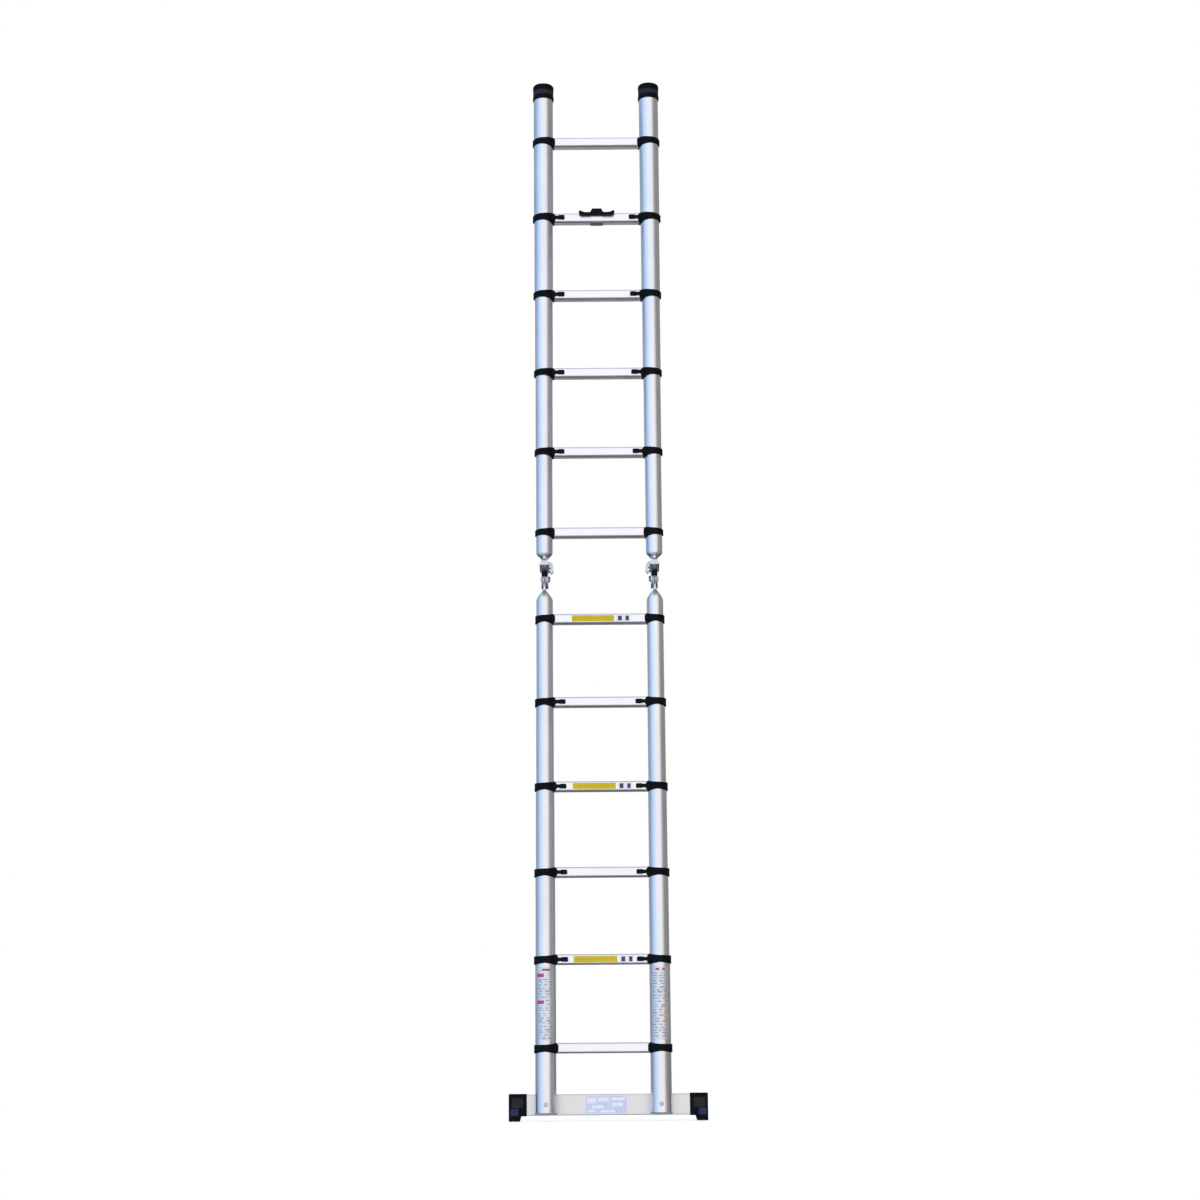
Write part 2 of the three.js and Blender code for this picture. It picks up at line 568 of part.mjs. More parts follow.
// The saddle is wrapped round the middle of its rung; up is +1 where the latch stands above the rung
// in the group's own frame, and -1 where the group is upside down.
function latchSaddle(rung, up) {
  const z = rungZ(rung);
  const band = plateX(roundedRectangle(RUNG_DEPTH + 2 * SADDLE_WALL, RUNG_HEIGHT + 2 * SADDLE_WALL,
    RUNG_CORNER + SADDLE_WALL, z), -SADDLE_WIDTH / 2, SADDLE_WIDTH / 2, CORNER_SEGMENTS);
  const axleZ = z + up * LATCH_AXLE_RISE;
  const rootZ = z + up * (RUNG_HEIGHT / 2 - 4);
  const ears = [-1, 1].map((end) => {
    const ear = new THREE.Shape();
    ear.moveTo(RUNG_DEPTH / 4, rootZ);
    ear.lineTo(RUNG_DEPTH / 2 - 2, rootZ - up * 10);
    ear.lineTo(LATCH_AXLE_Y + LATCH_BARREL_RADIUS, axleZ - up * 3);
    ear.lineTo(LATCH_AXLE_Y + LATCH_BARREL_RADIUS - 1, axleZ + up * 4);
    ear.lineTo(LATCH_AXLE_Y - LATCH_BARREL_RADIUS, axleZ + up * 4);
    return plateX(ear, end * (LATCH_ARM_HALF + GAP), end * (LATCH_ARM_HALF + 4));
  });
  const axle = rodX(-LATCH_ARM_HALF - 2, LATCH_ARM_HALF + 2, LATCH_AXLE_RADIUS, LATCH_AXLE_Y, axleZ, 10);
  const rungHollow = plateX(roundedRectangle(RUNG_DEPTH - RUNG_WALL, RUNG_HEIGHT - RUNG_WALL,
    RUNG_CORNER - RUNG_WALL / 2, z), -SADDLE_WIDTH, SADDLE_WIDTH, CORNER_SEGMENTS);
  return joined([band, ...ears]).subtract(rungHollow).add(axle);
}

// The right half of the handle's outline, as heights above the rung's middle: a flat lower edge, a wing
// with a rounded, upswept tip, and a hump in the middle.
function handleHalf() {
  const half = LATCH_SPAN / 2;
  const edge = new THREE.Path();
  edge.moveTo(0, HANDLE_LOW);
  edge.lineTo(half - HANDLE_CURL, HANDLE_LOW);
  edge.quadraticCurveTo(half - 1, HANDLE_LOW + 1, half, HANDLE_WING + 2);
  edge.quadraticCurveTo(half - 2, HANDLE_TIP, half - 8, HANDLE_TIP - 3);
  edge.quadraticCurveTo(half - HANDLE_CURL, HANDLE_WING + 1, half - 26, HANDLE_WING);
  edge.lineTo(HANDLE_HUMP_HALF + 5.5, HANDLE_WING);
  edge.lineTo(HANDLE_HUMP_HALF, HANDLE_HUMP);
  edge.lineTo(0, HANDLE_HUMP);
  return edge.getPoints(4);
}

// A T handle in front of the rung, on an arm that turns about an axle behind it.
function transportLatch() {
  const z = 2 * PIVOT_Z - rungZ(2);
  const front = -RUNG_DEPTH / 2 - SADDLE_WALL - SADDLE_GAP;
  const right = handleHalf().map((point) => new THREE.Vector2(point.x, z + point.y));
  const left = right.slice(1, -1).reverse().map((point) => new THREE.Vector2(-point.x, point.y));
  const grip = plateY(new THREE.Shape([...right, ...left]), front - LATCH_THICKNESS, front);
  const armLow = z + RUNG_HEIGHT / 2 + SADDLE_WALL + SADDLE_GAP;
  const arm = box(-LATCH_ARM_HALF, front - 1, armLow, LATCH_ARM_HALF, LATCH_AXLE_Y, armLow + LATCH_ARM_HEIGHT);
  const axleZ = z + LATCH_AXLE_RISE;
  const barrel = rodX(-LATCH_ARM_HALF, LATCH_ARM_HALF, LATCH_BARREL_RADIUS, LATCH_AXLE_Y, axleZ);
  const bore = rodX(-LATCH_ARM_HALF - 1, LATCH_ARM_HALF + 1, LATCH_AXLE_RADIUS + GAP + 0.1,
    LATCH_AXLE_Y, axleZ, 10);
  return joined([grip, arm, barrel]).subtract(bore);
}

// ---------------------------------------------------------------- assembly

// Both halves share one build, counted from the foot end to the hinge. The upper half is turned over
// about the Y axis through the pivot's level, so its left and right change places.
function addHalf(half) {
  const group = new THREE.Group();
  const upper = half === 'upper';
  if (upper) {
    group.rotation.y = Math.PI;
    group.position.z = 2 * PIVOT_Z;
  }
  const sideName = (side) => (upper ? SIDES.find((other) => other !== side) : side);
  const rungNumber = (rung) => String(upper ? 2 * TUBE_COUNT + 3 - rung : rung).padStart(2, '0');
  for (const side of SIDES) {
    for (let tube = 1; tube <= TUBE_COUNT; tube += 1) {
      const name = `${half}_tube_${tube}_${sideName(side)}`;
      addPart(group, name, stileTube(tube, side, CRIMPS[half]), aluminium(0.3));
    }
  }
  for (let rung = 1; rung <= TUBE_COUNT + 1; rung += 1) {
    const plain = rungSolid(rung);
    const solid = upper && rung === 2 ? plain.add(latchSaddle(rung, -1)) : plain;
    addPart(group, `rung_${rungNumber(rung)}`, solid, aluminium(0.4));
    for (const side of hasSlides(rung) ? SIDES : []) {
      addPart(group, `button_${rungNumber(rung)}_${sideName(side)}`, thumbSlide(rung, side), blackPlastic());
    }
  }
  ladder.add(group);
}

addHalf('lower');
addHalf('upper');
addPart(ladder, 'stabiliser_bar', stabiliserBar(), aluminium(0.45));
addPart(ladder, 'transport_latch', transportLatch(), blackPlastic());
for (const side of SIDES) {
  addPart(ladder, `bar_foot_${side}`, barFoot(side), blackRubber());
  addPart(ladder, `end_cap_${side}`, endCap(side), blackPlastic());
  addPart(ladder, `hinge_leaf_lower_${side}`, lowerLeaf(side), zincSteel());
  addPart(ladder, `hinge_leaf_upper_${side}`, upperLeaf(side), zincSteel());
  addPart(ladder, `hinge_lock_${side}`, hingeLock(side), zincSteel());
}

export default ladder;
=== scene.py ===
"""Looks of the hinged telescopic ladder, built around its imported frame.

Metres, +Z up. -Y is the climbing side, and a rise in a hinge is measured from its pivot.
"""

import json
import math
import random

import bmesh
import bpy
from mathutils import Matrix, Vector


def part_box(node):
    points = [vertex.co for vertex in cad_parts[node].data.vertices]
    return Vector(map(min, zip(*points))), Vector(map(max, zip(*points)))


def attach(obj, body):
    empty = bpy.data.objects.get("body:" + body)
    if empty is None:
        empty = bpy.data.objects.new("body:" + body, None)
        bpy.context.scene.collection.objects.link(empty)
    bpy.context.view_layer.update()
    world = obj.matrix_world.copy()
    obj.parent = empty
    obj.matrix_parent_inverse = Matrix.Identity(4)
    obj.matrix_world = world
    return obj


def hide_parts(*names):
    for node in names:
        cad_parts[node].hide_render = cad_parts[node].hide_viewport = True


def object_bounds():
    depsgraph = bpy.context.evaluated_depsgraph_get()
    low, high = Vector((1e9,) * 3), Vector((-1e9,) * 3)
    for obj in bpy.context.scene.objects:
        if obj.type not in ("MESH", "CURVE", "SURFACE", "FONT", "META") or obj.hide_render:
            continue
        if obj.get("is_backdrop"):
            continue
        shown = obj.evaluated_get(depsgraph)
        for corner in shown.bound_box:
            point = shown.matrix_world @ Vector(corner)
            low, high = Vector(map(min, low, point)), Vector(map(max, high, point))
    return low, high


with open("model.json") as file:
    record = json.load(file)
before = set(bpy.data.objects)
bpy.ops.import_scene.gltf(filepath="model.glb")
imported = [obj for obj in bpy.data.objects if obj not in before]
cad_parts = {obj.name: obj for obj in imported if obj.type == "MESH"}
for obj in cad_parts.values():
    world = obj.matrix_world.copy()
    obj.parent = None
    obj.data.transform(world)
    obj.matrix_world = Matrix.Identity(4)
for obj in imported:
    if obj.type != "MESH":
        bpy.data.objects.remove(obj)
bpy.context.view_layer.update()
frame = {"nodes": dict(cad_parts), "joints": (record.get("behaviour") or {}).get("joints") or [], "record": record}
record = frame["record"]
joints = {joint["name"]: joint for joint in frame["joints"]}
body_of = {
    node: body
    for body, nodes in record["behaviour"]["bodies"].items()
    for node in nodes
}

# Which way along X is inwards, for each stile
SIDES = {"left": 1, "right": -1}
HALVES = {"lower": 1, "upper": -1}
TUBE_COUNT = 5
RUNG_COUNT = 12

TUBE_WALL = 0.0013
TUBE_CHAMFER = 0.0003
CRIMP_FLAT = 0.008
CRIMP_HALF_THICKNESS = 0.0055
CRIMP_WALL = 0.0019
CRIMP_LENGTHS = {"lower": 0.034, "upper": 0.022}

RUNG_HALF_DEPTH = 0.021
RUNG_HALF_HEIGHT = 0.018
RUNG_CORNER = 0.009
RUNG_WALL = 0.0022
RIB_HEIGHT = 0.0009
RIB_COUNT = 7
COLLAR_THICKNESS = 0.0045
SOCKET_REACH = 0.0045

KNOB_LENGTH = 0.024
KNOB_HALF_HEIGHT = 0.0082
KNOB_CORNER = 0.004
SLIDE_TRAVEL = 0.010
NECK_FRONT = -0.0268
NECK_BACK = -0.0239
NECK_REACH = 0.0133
NECK_HALF_HEIGHT = 0.0063
SLOT_HALF_HEIGHT = 0.0038
STEM_HALF_HEIGHT = 0.0034
STEM_LENGTH = 0.011
PIN_RADIUS = 0.004
GROOVE_PITCH = 0.0034
GROOVE_HALF_WIDTH = 0.0007

LABEL_THICKNESS = 0.00015


# ---- materials


def node_of(tree, kind, sockets=None, **values):
    """A new shader node with its properties, then its sockets' own values, set."""
    node = tree.nodes.new(kind)
    for key, value in values.items():
        setattr(node, key, value)
    for socket, value in (sockets or {}).items():
        node.inputs[socket].default_value = value
    return node


def spread(tree, value, low, high):
    """A value between low and high, brought to 0 to 1."""
    made = node_of(tree, "ShaderNodeMapRange", {"From Min": low, "From Max": high})
    tree.links.new(value, made.inputs["Value"])
    return made.outputs["Result"]


def ramp(tree, value, stops):
    """A colour ramp through (position, colour) stops."""
    made = node_of(tree, "ShaderNodeValToRGB")
    elements = made.color_ramp.elements
    while len(elements) < len(stops):
        elements.new(0.5)
    for element, (position, colour) in zip(elements, stops):
        element.position = position
        element.color = (*colour, 1)
    tree.links.new(value, made.inputs["Fac"])
    return made.outputs["Color"]


def shader(name, dark, light, rough, grain, bump, smudge, specular=0.5, metallic=0.0, stretch=(1, 1, 1)):
    """A surface with fine grain, broad smudges, roughness that varies with both, and a bump."""
    made = bpy.data.materials.new(name)
    made.use_nodes = True
    tree = made.node_tree
    link = tree.links.new
    principled = tree.nodes["Principled BSDF"]
    principled.inputs["Metallic"].default_value = metallic
    principled.inputs["Specular IOR Level"].default_value = specular
    place = node_of(tree, "ShaderNodeTexCoord")
    mapping = node_of(tree, "ShaderNodeMapping", {"Scale": stretch})
    link(place.outputs["Object"], mapping.inputs["Vector"])
    fine = node_of(tree, "ShaderNodeTexNoise", {"Scale": grain, "Detail": 6, "Roughness": 0.62})
    link(mapping.outputs["Vector"], fine.inputs["Vector"])
    broad = node_of(tree, "ShaderNodeTexNoise", {"Scale": smudge, "Detail": 3})
    link(place.outputs["Object"], broad.inputs["Vector"])
    blend = node_of(tree, "ShaderNodeMix", {"Factor": 0.45}, data_type="FLOAT")
    link(fine.outputs["Fac"], blend.inputs["A"])
    link(broad.outputs["Fac"], blend.inputs["B"])
    share = spread(tree, blend.outputs["Result"], 0.34, 0.66)
    colour = node_of(tree, "ShaderNodeMix", {"A": (*dark, 1), "B": (*light, 1)}, data_type="RGBA")
    link(share, colour.inputs["Factor"])
    link(colour.outputs["Result"], principled.inputs["Base Color"])
    roughness = node_of(tree, "ShaderNodeMapRange", {"To Min": rough[0], "To Max": rough[1]})
    link(share, roughness.inputs["Value"])
    link(roughness.outputs["Result"], principled.inputs["Roughness"])
    relief = node_of(tree, "ShaderNodeBump", {"Strength": bump, "Distance": 0.0004})
    link(fine.outputs["Fac"], relief.inputs["Height"])
    link(relief.outputs["Normal"], principled.inputs["Normal"])
    return made


# Dark and light colour, roughness from and to, grain, bump, smudge, specular level, metallic and the
# stretch of the grain along X, Y and Z
SURFACES = {
    "tube_aluminium": ((0.74, 0.75, 0.78), (0.85, 0.86, 0.88), (0.24, 0.34),
                       700, 0.05, 7, 0.5, 1.0, (1, 1, 0.02)),
    "rung_aluminium": ((0.84, 0.85, 0.87), (0.95, 0.95, 0.96), (0.28, 0.42),
                       800, 0.06, 9, 0.5, 1.0, (0.02, 1, 1)),
    "bar_aluminium": ((0.74, 0.73, 0.72), (0.85, 0.84, 0.83), (0.38, 0.52),
                      600, 0.08, 8, 0.5, 1.0, (0.03, 1, 1)),
    "hinge_steel": ((0.60, 0.65, 0.69), (0.78, 0.82, 0.85), (0.34, 0.50), 260, 0.08, 40, 0.5, 1.0),
    "fastener_steel": ((0.42, 0.43, 0.45), (0.62, 0.63, 0.66), (0.20, 0.36), 500, 0.05, 60, 0.5, 1.0),
    "black_plastic": ((0.0016, 0.0020, 0.0034), (0.005, 0.0062, 0.0095), (0.40, 0.54), 1500, 0.12, 25, 0.07),
    "button_plastic": ((0.0012, 0.0014, 0.002), (0.004, 0.0045, 0.006), (0.32, 0.44), 1800, 0.06, 40, 0.10),
    "foot_rubber": ((0.002, 0.0022, 0.0034), (0.007, 0.008, 0.014), (0.50, 0.68), 1100, 0.25, 22, 0.06),
    # Painted highlight: the cap's waist band is lighter and bluish than the black cap, standing in for its
    # highlight
    "cap_band": ((0.010, 0.012, 0.020), (0.026, 0.029, 0.044), (0.50, 0.66), 1500, 0.3, 25, 0.2),
    # Painted reflection: the foot panels' floors, lighter grey above and navy below, stand in for the rubber's
    # reflections
    "foot_panel": ((0.009, 0.009, 0.010), (0.020, 0.020, 0.021), (0.46, 0.60), 1100, 0.3, 22, 0.2),
    "foot_toe": ((0.009, 0.018, 0.060), (0.019, 0.034, 0.105), (0.40, 0.54), 1100, 0.3, 22, 0.2),
    "grey_plastic": ((0.20, 0.21, 0.22), (0.32, 0.33, 0.35), (0.42, 0.55), 1200, 0.1, 30, 0.4),
    "label_yellow": ((0.54, 0.44, 0.004), (0.68, 0.55, 0.010), (0.28, 0.40), 900, 0.03, 30, 0.3),
    "label_white": ((0.60, 0.62, 0.67), (0.76, 0.78, 0.82), (0.26, 0.38), 900, 0.03, 18, 0.5, 0.8),
    "label_lavender": ((0.54, 0.57, 0.76), (0.66, 0.69, 0.86), (0.30, 0.42), 900, 0.03, 30),
    "ink_navy": ((0.022, 0.022, 0.07), (0.045, 0.045, 0.11), (0.30, 0.42), 1500, 0.03, 60),
    "ink_grey": ((0.24, 0.245, 0.28), (0.34, 0.345, 0.39), (0.32, 0.45), 1500, 0.03, 60),
    "ink_red": ((0.34, 0.045, 0.13), (0.44, 0.07, 0.18), (0.30, 0.42), 1500, 0.03, 60),
    "ink_orange": ((0.62, 0.30, 0.01), (0.74, 0.38, 0.02), (0.30, 0.42), 1500, 0.03, 60),
    "ink_white": ((0.74, 0.76, 0.86), (0.86, 0.88, 0.95), (0.30, 0.42), 1500, 0.03, 60),
}
MATERIALS = {name: shader(name, *row) for name, row in SURFACES.items()}


# ---- mesh helpers


def mesh_of(bm, name):
    """Turns a bmesh into a mesh."""
    bmesh.ops.recalc_face_normals(bm, faces=bm.faces)
    mesh = bpy.data.meshes.new(name)
    bm.to_mesh(mesh)
    bm.free()
    return mesh


def dressed(mesh, *materials):
    """The mesh with only these materials, and all its faces on the first of them."""
    mesh.materials.clear()
    for entry in materials:
        mesh.materials.append(MATERIALS[entry])
    return mesh


def piece(name, bm, material, body, replaces=(), smooth=32):
    """Turns a bmesh, whose faces number their materials, into an object that rides on a body."""
    names = [material] if isinstance(material, str) else material
    mesh = mesh_of(bm, name)
    for entry in names:
        mesh.materials.append(MATERIALS[entry])
    return placed(name, mesh, body, replaces, smooth)


def placed(name, mesh, body, replaces=(), smooth=32, matrix=None):
    """Turns a mesh into an object that rides on a body."""
    mesh.polygons.foreach_set("use_smooth", [True] * len(mesh.polygons))
    mesh.set_sharp_from_angle(angle=math.radians(smooth))
    made = bpy.data.objects.new(name, mesh)
    bpy.context.scene.collection.objects.link(made)
    if matrix is not None:
        made.matrix_world = matrix
    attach(made, body)
    if replaces:
        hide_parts(*replaces)
    return made


def bevel(made, width, segments=3):
    """Rounds an object's sharp edges."""
    modifier = made.modifiers.new("edges", "BEVEL")
    modifier.width = width
    modifier.segments = segments
    modifier.limit_method = "ANGLE"
    modifier.angle_limit = math.radians(30)
    modifier.harden_normals = False


def boolean(mesh, steps):
    """The mesh after each (operation, tool mesh) has been applied to it."""
    base = bpy.data.objects.new("boolean_base", mesh)
    bpy.context.scene.collection.objects.link(base)
    helpers = []
    for operation, tool_mesh in steps:
        helper = bpy.data.objects.new("boolean_tool", tool_mesh)
        bpy.context.scene.collection.objects.link(helper)
        modifier = base.modifiers.new("cut", "BOOLEAN")
        modifier.operation = operation
        modifier.solver = "EXACT"
        modifier.object = helper
        helpers.append(helper)
    depsgraph = bpy.context.evaluated_depsgraph_get()
    result = bpy.data.meshes.new_from_object(base.evaluated_get(depsgraph))
    for leftover in [base, *helpers]:
        bpy.data.objects.remove(leftover)
    return result


def tool(operation, build, *args, **values):
    """A step for boolean(), with a tool mesh that one call builds."""
    bm = bmesh.new()
    build(bm, *args, **values)
    return operation, mesh_of(bm, "tool")


def bridge(bm, first, second, index=0):
    """Faces between two rings of vertices, either of which may be a single point."""
    count = max(len(first), len(second))
    if count == 1:
        return
    for i in range(count):
        j = (i + 1) % count
        if len(first) == 1:
            corners = (first[0], second[j], second[i])
        elif len(second) == 1:
            corners = (first[i], first[j], second[0])
        else:
            corners = (first[i], first[j], second[j], second[i])
        bm.faces.new(corners).material_index = index


def revolve(bm, profile, x, y=0.0, segments=64, closed=True, index=0, place=None):
    """A profile of (radius, z) turned about the Z axis through (x, y); place may move each point."""
    rings = []
    for radius, z in profile:
        if radius < 1e-7:
            rings.append([bm.verts.new((x, y, z))])
            continue
        ring = []
        for i in range(segments):
            angle = 2 * math.pi * i / segments
            dx, dy, dz = radius * math.cos(angle), radius * math.sin(angle), z
            if place:
                dx, dy, dz = place(dx, dy, dz, radius)
            ring.append(bm.verts.new((x + dx, y + dy, dz)))
        rings.append(ring)
    pairs = list(zip(rings, rings[1:]))
    if closed:
        pairs.append((rings[-1], rings[0]))
    for first, second in pairs:
        bridge(bm, first, second, index)


def rod(bm, start, end, radius, sides=24, index=0, chamfer=0.0):
    """A round (or many-sided) bar between two points, with chamfered ends."""
    start, end = Vector(start), Vector(end)
    turn = (end - start).to_track_quat("Z", "Y").to_matrix().to_4x4()
    turn.translation = start
    length = (end - start).length
    profile = [(0, 0), (radius - chamfer, 0), (radius, chamfer), (radius, length - chamfer),
               (radius - chamfer, length), (0, length)]
    if not chamfer:
        profile = [(0, 0), (radius, 0), (radius, length), (0, length)]
    before = set(bm.verts)
    revolve(bm, profile, 0, 0, sides, closed=False, index=index)
    bmesh.ops.transform(bm, matrix=turn, verts=[v for v in bm.verts if v not in before])


def block(bm, low, high, index=0):
    """A box between two corners."""
    low, high = Vector(low), Vector(high)
    size = Vector(abs(b - a) for a, b in zip(low, high))
    matrix = Matrix.Translation((low + high) / 2) @ Matrix.Diagonal((*size, 1))
    made = bmesh.ops.create_cube(bm, size=1, matrix=matrix)
    for vert in made["verts"]:
        for face in vert.link_faces:
            face.material_index = index


def fillet(corners, steps=6):
    """A closed outline from (a, b, radius) corners, each rounded to its radius."""
    outline = []
    for i, (a, b, radius) in enumerate(corners):
        here = Vector((a, b))
        to_before = Vector(corners[i - 1][:2]) - here
        to_after = Vector(corners[(i + 1) % len(corners)][:2]) - here
        if radius <= 0:
            outline.append((a, b))
            continue
        u, v = to_before.normalized(), to_after.normalized()
        half = u.angle(v) / 2
        reach = min(radius / math.tan(half), 0.49 * to_before.length, 0.49 * to_after.length)
        true_radius = reach * math.tan(half)
        centre = here + (u + v).normalized() * (true_radius / math.sin(half))
        first, last = here + u * reach - centre, here + v * reach - centre
        begin = math.atan2(first.y, first.x)
        sweep = math.atan2(last.y, last.x) - begin
        sweep = (sweep + math.pi) % (2 * math.pi) - math.pi
        for k in range(steps + 1):
            angle = begin + sweep * k / steps
            outline.append((centre.x + true_radius * math.cos(angle),
                            centre.y + true_radius * math.sin(angle)))
    return outline


def box_outline(low_a, high_a, low_b, high_b, corner, steps=6):
    """A rectangle with rounded corners."""
    return fillet([(high_a, high_b, corner), (low_a, high_b, corner), (low_a, low_b, corner),
                   (high_a, low_b, corner)], steps)


def arc(a, b, radius, begin, end, steps=40):
    """Points of a circular arc about (a, b)."""
    return [(a + radius * math.cos(begin + (end - begin) * k / steps),
             b + radius * math.sin(begin + (end - begin) * k / steps)) for k in range(steps + 1)]


def bezier(start, control, end, steps=14):
    """Points of a quadratic curve, without its end point."""
    return [tuple((1 - t) ** 2 * s + 2 * t * (1 - t) * c + t * t * e for s, c, e in zip(start, control, end))
            for t in (k / steps for k in range(steps))]


def prism(bm, outline, axis, start, end, index=0):
    """An outline extruded along X (outline in YZ) or along Y (outline in XZ)."""
    def corner(a, b, at):
        return (at, a, b) if axis == "X" else (a, at, b)
    rings = [[bm.verts.new(corner(a, b, at)) for a, b in outline] for at in (start, end)]
    bridge(bm, rings[0], rings[1], index)
    for ring in rings:
        bm.faces.new(ring).material_index = index


def sleeve(bm, outer, inner, stations, index=0, shift=None):
    """A hollow extrusion along X: both outlines are in YZ and have the same number of points."""
    def ring(outline, x):
        return [bm.verts.new((x + (shift(b) if shift else 0), a, b)) for a, b in outline]
    outers = [ring(outer, x) for x in stations]
    inners = [ring(inner, x) for x in stations]
    for rings in (outers, inners):
        for first, second in zip(rings, rings[1:]):
            bridge(bm, first, second, index)
    bridge(bm, outers[0], inners[0], index)
    bridge(bm, outers[-1], inners[-1], index)


def slab(bm, place, u, v, counts, low, high, index=0):
    """A thin closed sheet on a curved surface: place(u, v, lift) gives each point."""
    columns, rows = counts
    layers = []
    for lift in (low, high):
        grid = [[bm.verts.new(place(u[0] + (u[1] - u[0]) * i / columns,
                                    v[0] + (v[1] - v[0]) * j / rows, lift))
                 for j in range(rows + 1)] for i in range(columns + 1)]
        layers.append(grid)
        for i in range(columns):
            for j in range(rows):
                bm.faces.new((grid[i][j], grid[i + 1][j], grid[i + 1][j + 1], grid[i][j + 1])
                             ).material_index = index
    def rim(grid):
        return ([grid[i][0] for i in range(columns)] + [grid[columns][j] for j in range(rows)]
                + [grid[i][rows] for i in range(columns, 0, -1)] + [grid[0][j] for j in range(rows, 0, -1)])
    bridge(bm, rim(layers[0]), rim(layers[1]), index)


# ---- places


def rung_name(number):
    return f"rung_{number:02d}"


def centre_of(node):
    low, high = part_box(node)
    return (low + high) / 2


def stile_x(side):
    return centre_of(f"lower_tube_1_{side}").x


def has_slides(number):
    return f"button_{number:02d}_left" in frame["nodes"]


def rung_z(number):
    node = f"button_{number:02d}_left" if has_slides(number) else rung_name(number)
    return centre_of(node).z


def grip_radius(number):
    """The radius of the tube that a rung's collars grip."""
    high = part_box(rung_name(number))[1]
    return high.x - stile_x("right") - COLLAR_THICKNESS


def half_of(number):
    return "lower" if number <= RUNG_COUNT // 2 else "upper"


def slide_end(number, side):
    """Where a slide's knob ends, on the side away from its stile."""
    low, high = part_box(f"button_{number:02d}_{side}")
    return high.x if SIDES[side] > 0 else low.x


pivot = Vector(joints["fold"]["pos_m"])


# ---- stile tubes


def stile_tube(half, number, side):
    name = f"{half}_tube_{number}_{side}"
    low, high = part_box(name)
    radius = (high.x - low.x) / 2
    inner = radius - TUBE_WALL
    bm = bmesh.new()
    if number < TUBE_COUNT:
        levels = [low.z, low.z + TUBE_CHAMFER, high.z - TUBE_CHAMFER, high.z]
        outer_side = [(radius - TUBE_CHAMFER, levels[0]), (radius, levels[1]),
                      (radius, levels[2]), (radius - TUBE_CHAMFER, levels[3])]
        inner_side = [(inner + TUBE_CHAMFER, levels[3]), (inner, levels[2]),
                      (inner, levels[1]), (inner + TUBE_CHAMFER, levels[0])]
        revolve(bm, outer_side + inner_side, centre_of(name).x, segments=72)
    else:
        crimped_tube(bm, half, low, high, centre_of(name).x, radius, inner)
    piece(name, bm, "tube_aluminium", body_of[name], replaces=[name])


def crimped_tube(bm, half, low, high, x, radius, inner):
    """The innermost tube, pressed flat at its hinge end."""
    up = HALVES[half]
    open_end, pressed_end = (low.z, high.z) if up > 0 else (high.z, low.z)
    length = CRIMP_LENGTHS[half]
    start = pressed_end - up * (CRIMP_FLAT + length)
    half_width = high.y

    def press(thickness, width):
        def move(dx, dy, dz, r):
            t = max(0.0, min(1.0, (dz - start) * up / length))
            eased = 1 - math.cos(t * math.pi / 2)
            power = 1 - 0.6 * eased
            along = r + (width - r) * eased
            across = r + (thickness - r) * eased
            return (math.copysign(across * abs(dx / r) ** power, dx),
                    math.copysign(along * abs(dy / r) ** power, dy), dz)
        return move

    steps = [start + up * length * k / 22 for k in range(23)]
    levels = [open_end, *steps, pressed_end]
    outer_place = press(CRIMP_HALF_THICKNESS, half_width)
    inner_place = press(CRIMP_HALF_THICKNESS - CRIMP_WALL, half_width - CRIMP_WALL)

    def place(dx, dy, dz, r):
        return (outer_place if r > (radius + inner) / 2 else inner_place)(dx, dy, dz, r)

    profile = [(radius, z) for z in levels] + [(inner, z) for z in reversed(levels)]
    revolve(bm, profile, x, segments=96, place=place)


for half in HALVES:
    for number in range(1, TUBE_COUNT + 1):
        for side in SIDES:
            stile_tube(half, number, side)


# ---- rungs


def rung_section(inset=0.0, ribs=True, z=0.0):
    """The rung's outline in YZ, with ribs along its top and bottom."""
    half_depth, half_height = RUNG_HALF_DEPTH - inset, RUNG_HALF_HEIGHT - inset
    corner = RUNG_CORNER - inset
    flat = half_depth - corner
    steps = 8
    outline = []
    for top in (1, -1):
        start = 0 if top > 0 else math.pi
        outline += arc(top * flat, z + top * (half_height - corner), corner, start, start + math.pi / 2,
                       steps)
        pitch = 2 * flat / RIB_COUNT
        depth = RIB_HEIGHT if ribs else 0.0
        for k in range(RIB_COUNT):
            left = flat - k * pitch
            for share, down in ((0.12, 0), (0.30, 1), (0.70, 1), (0.88, 0)):
                outline.append((top * (left - share * pitch), z + top * (half_height - down * depth)))
        outline += arc(-top * flat, z + top * (half_height - corner), corner,
                       start + math.pi / 2, start + math.pi, steps)
    return outline


def rung(number):
    """A hollow ribbed extrusion between the two collars, slotted where slides run in it."""
    name = rung_name(number)
    z = rung_z(number)
    reach = abs(stile_x("right")) - grip_radius(number) - 0.001
    bm = bmesh.new()
    sleeve(bm, rung_section(z=z), rung_section(RUNG_WALL, ribs=False, z=z), [-reach, reach])
    mesh = mesh_of(bm, name)
    if has_slides(number):
        cutters = []
        for side, inward in SIDES.items():
            start = slide_end(number, side) - inward * KNOB_LENGTH
            end = start + inward * (STEM_LENGTH + SLIDE_TRAVEL + 0.0005)
            cutters.append(tool("DIFFERENCE", block, (start - inward * 0.0005, -0.03, z - SLOT_HALF_HEIGHT),
                                (end, -0.012, z + SLOT_HALF_HEIGHT)))
        mesh = boolean(mesh, cutters)
    placed(name, dressed(mesh, "rung_aluminium"), body_of[name], [name])


for number in range(1, RUNG_COUNT + 1):
    rung(number)


# ---- collars

COLLAR_FRONT = 0.012
COLLAR_FILLET = 0.002
COLLAR_SIDES = 80
SOCKET_HALF_DEPTH = 0.0236
SOCKET_HALF_HEIGHT = 0.0187
SOCKET_CORNER = 0.0105
SOCKET_GAP = 0.0001


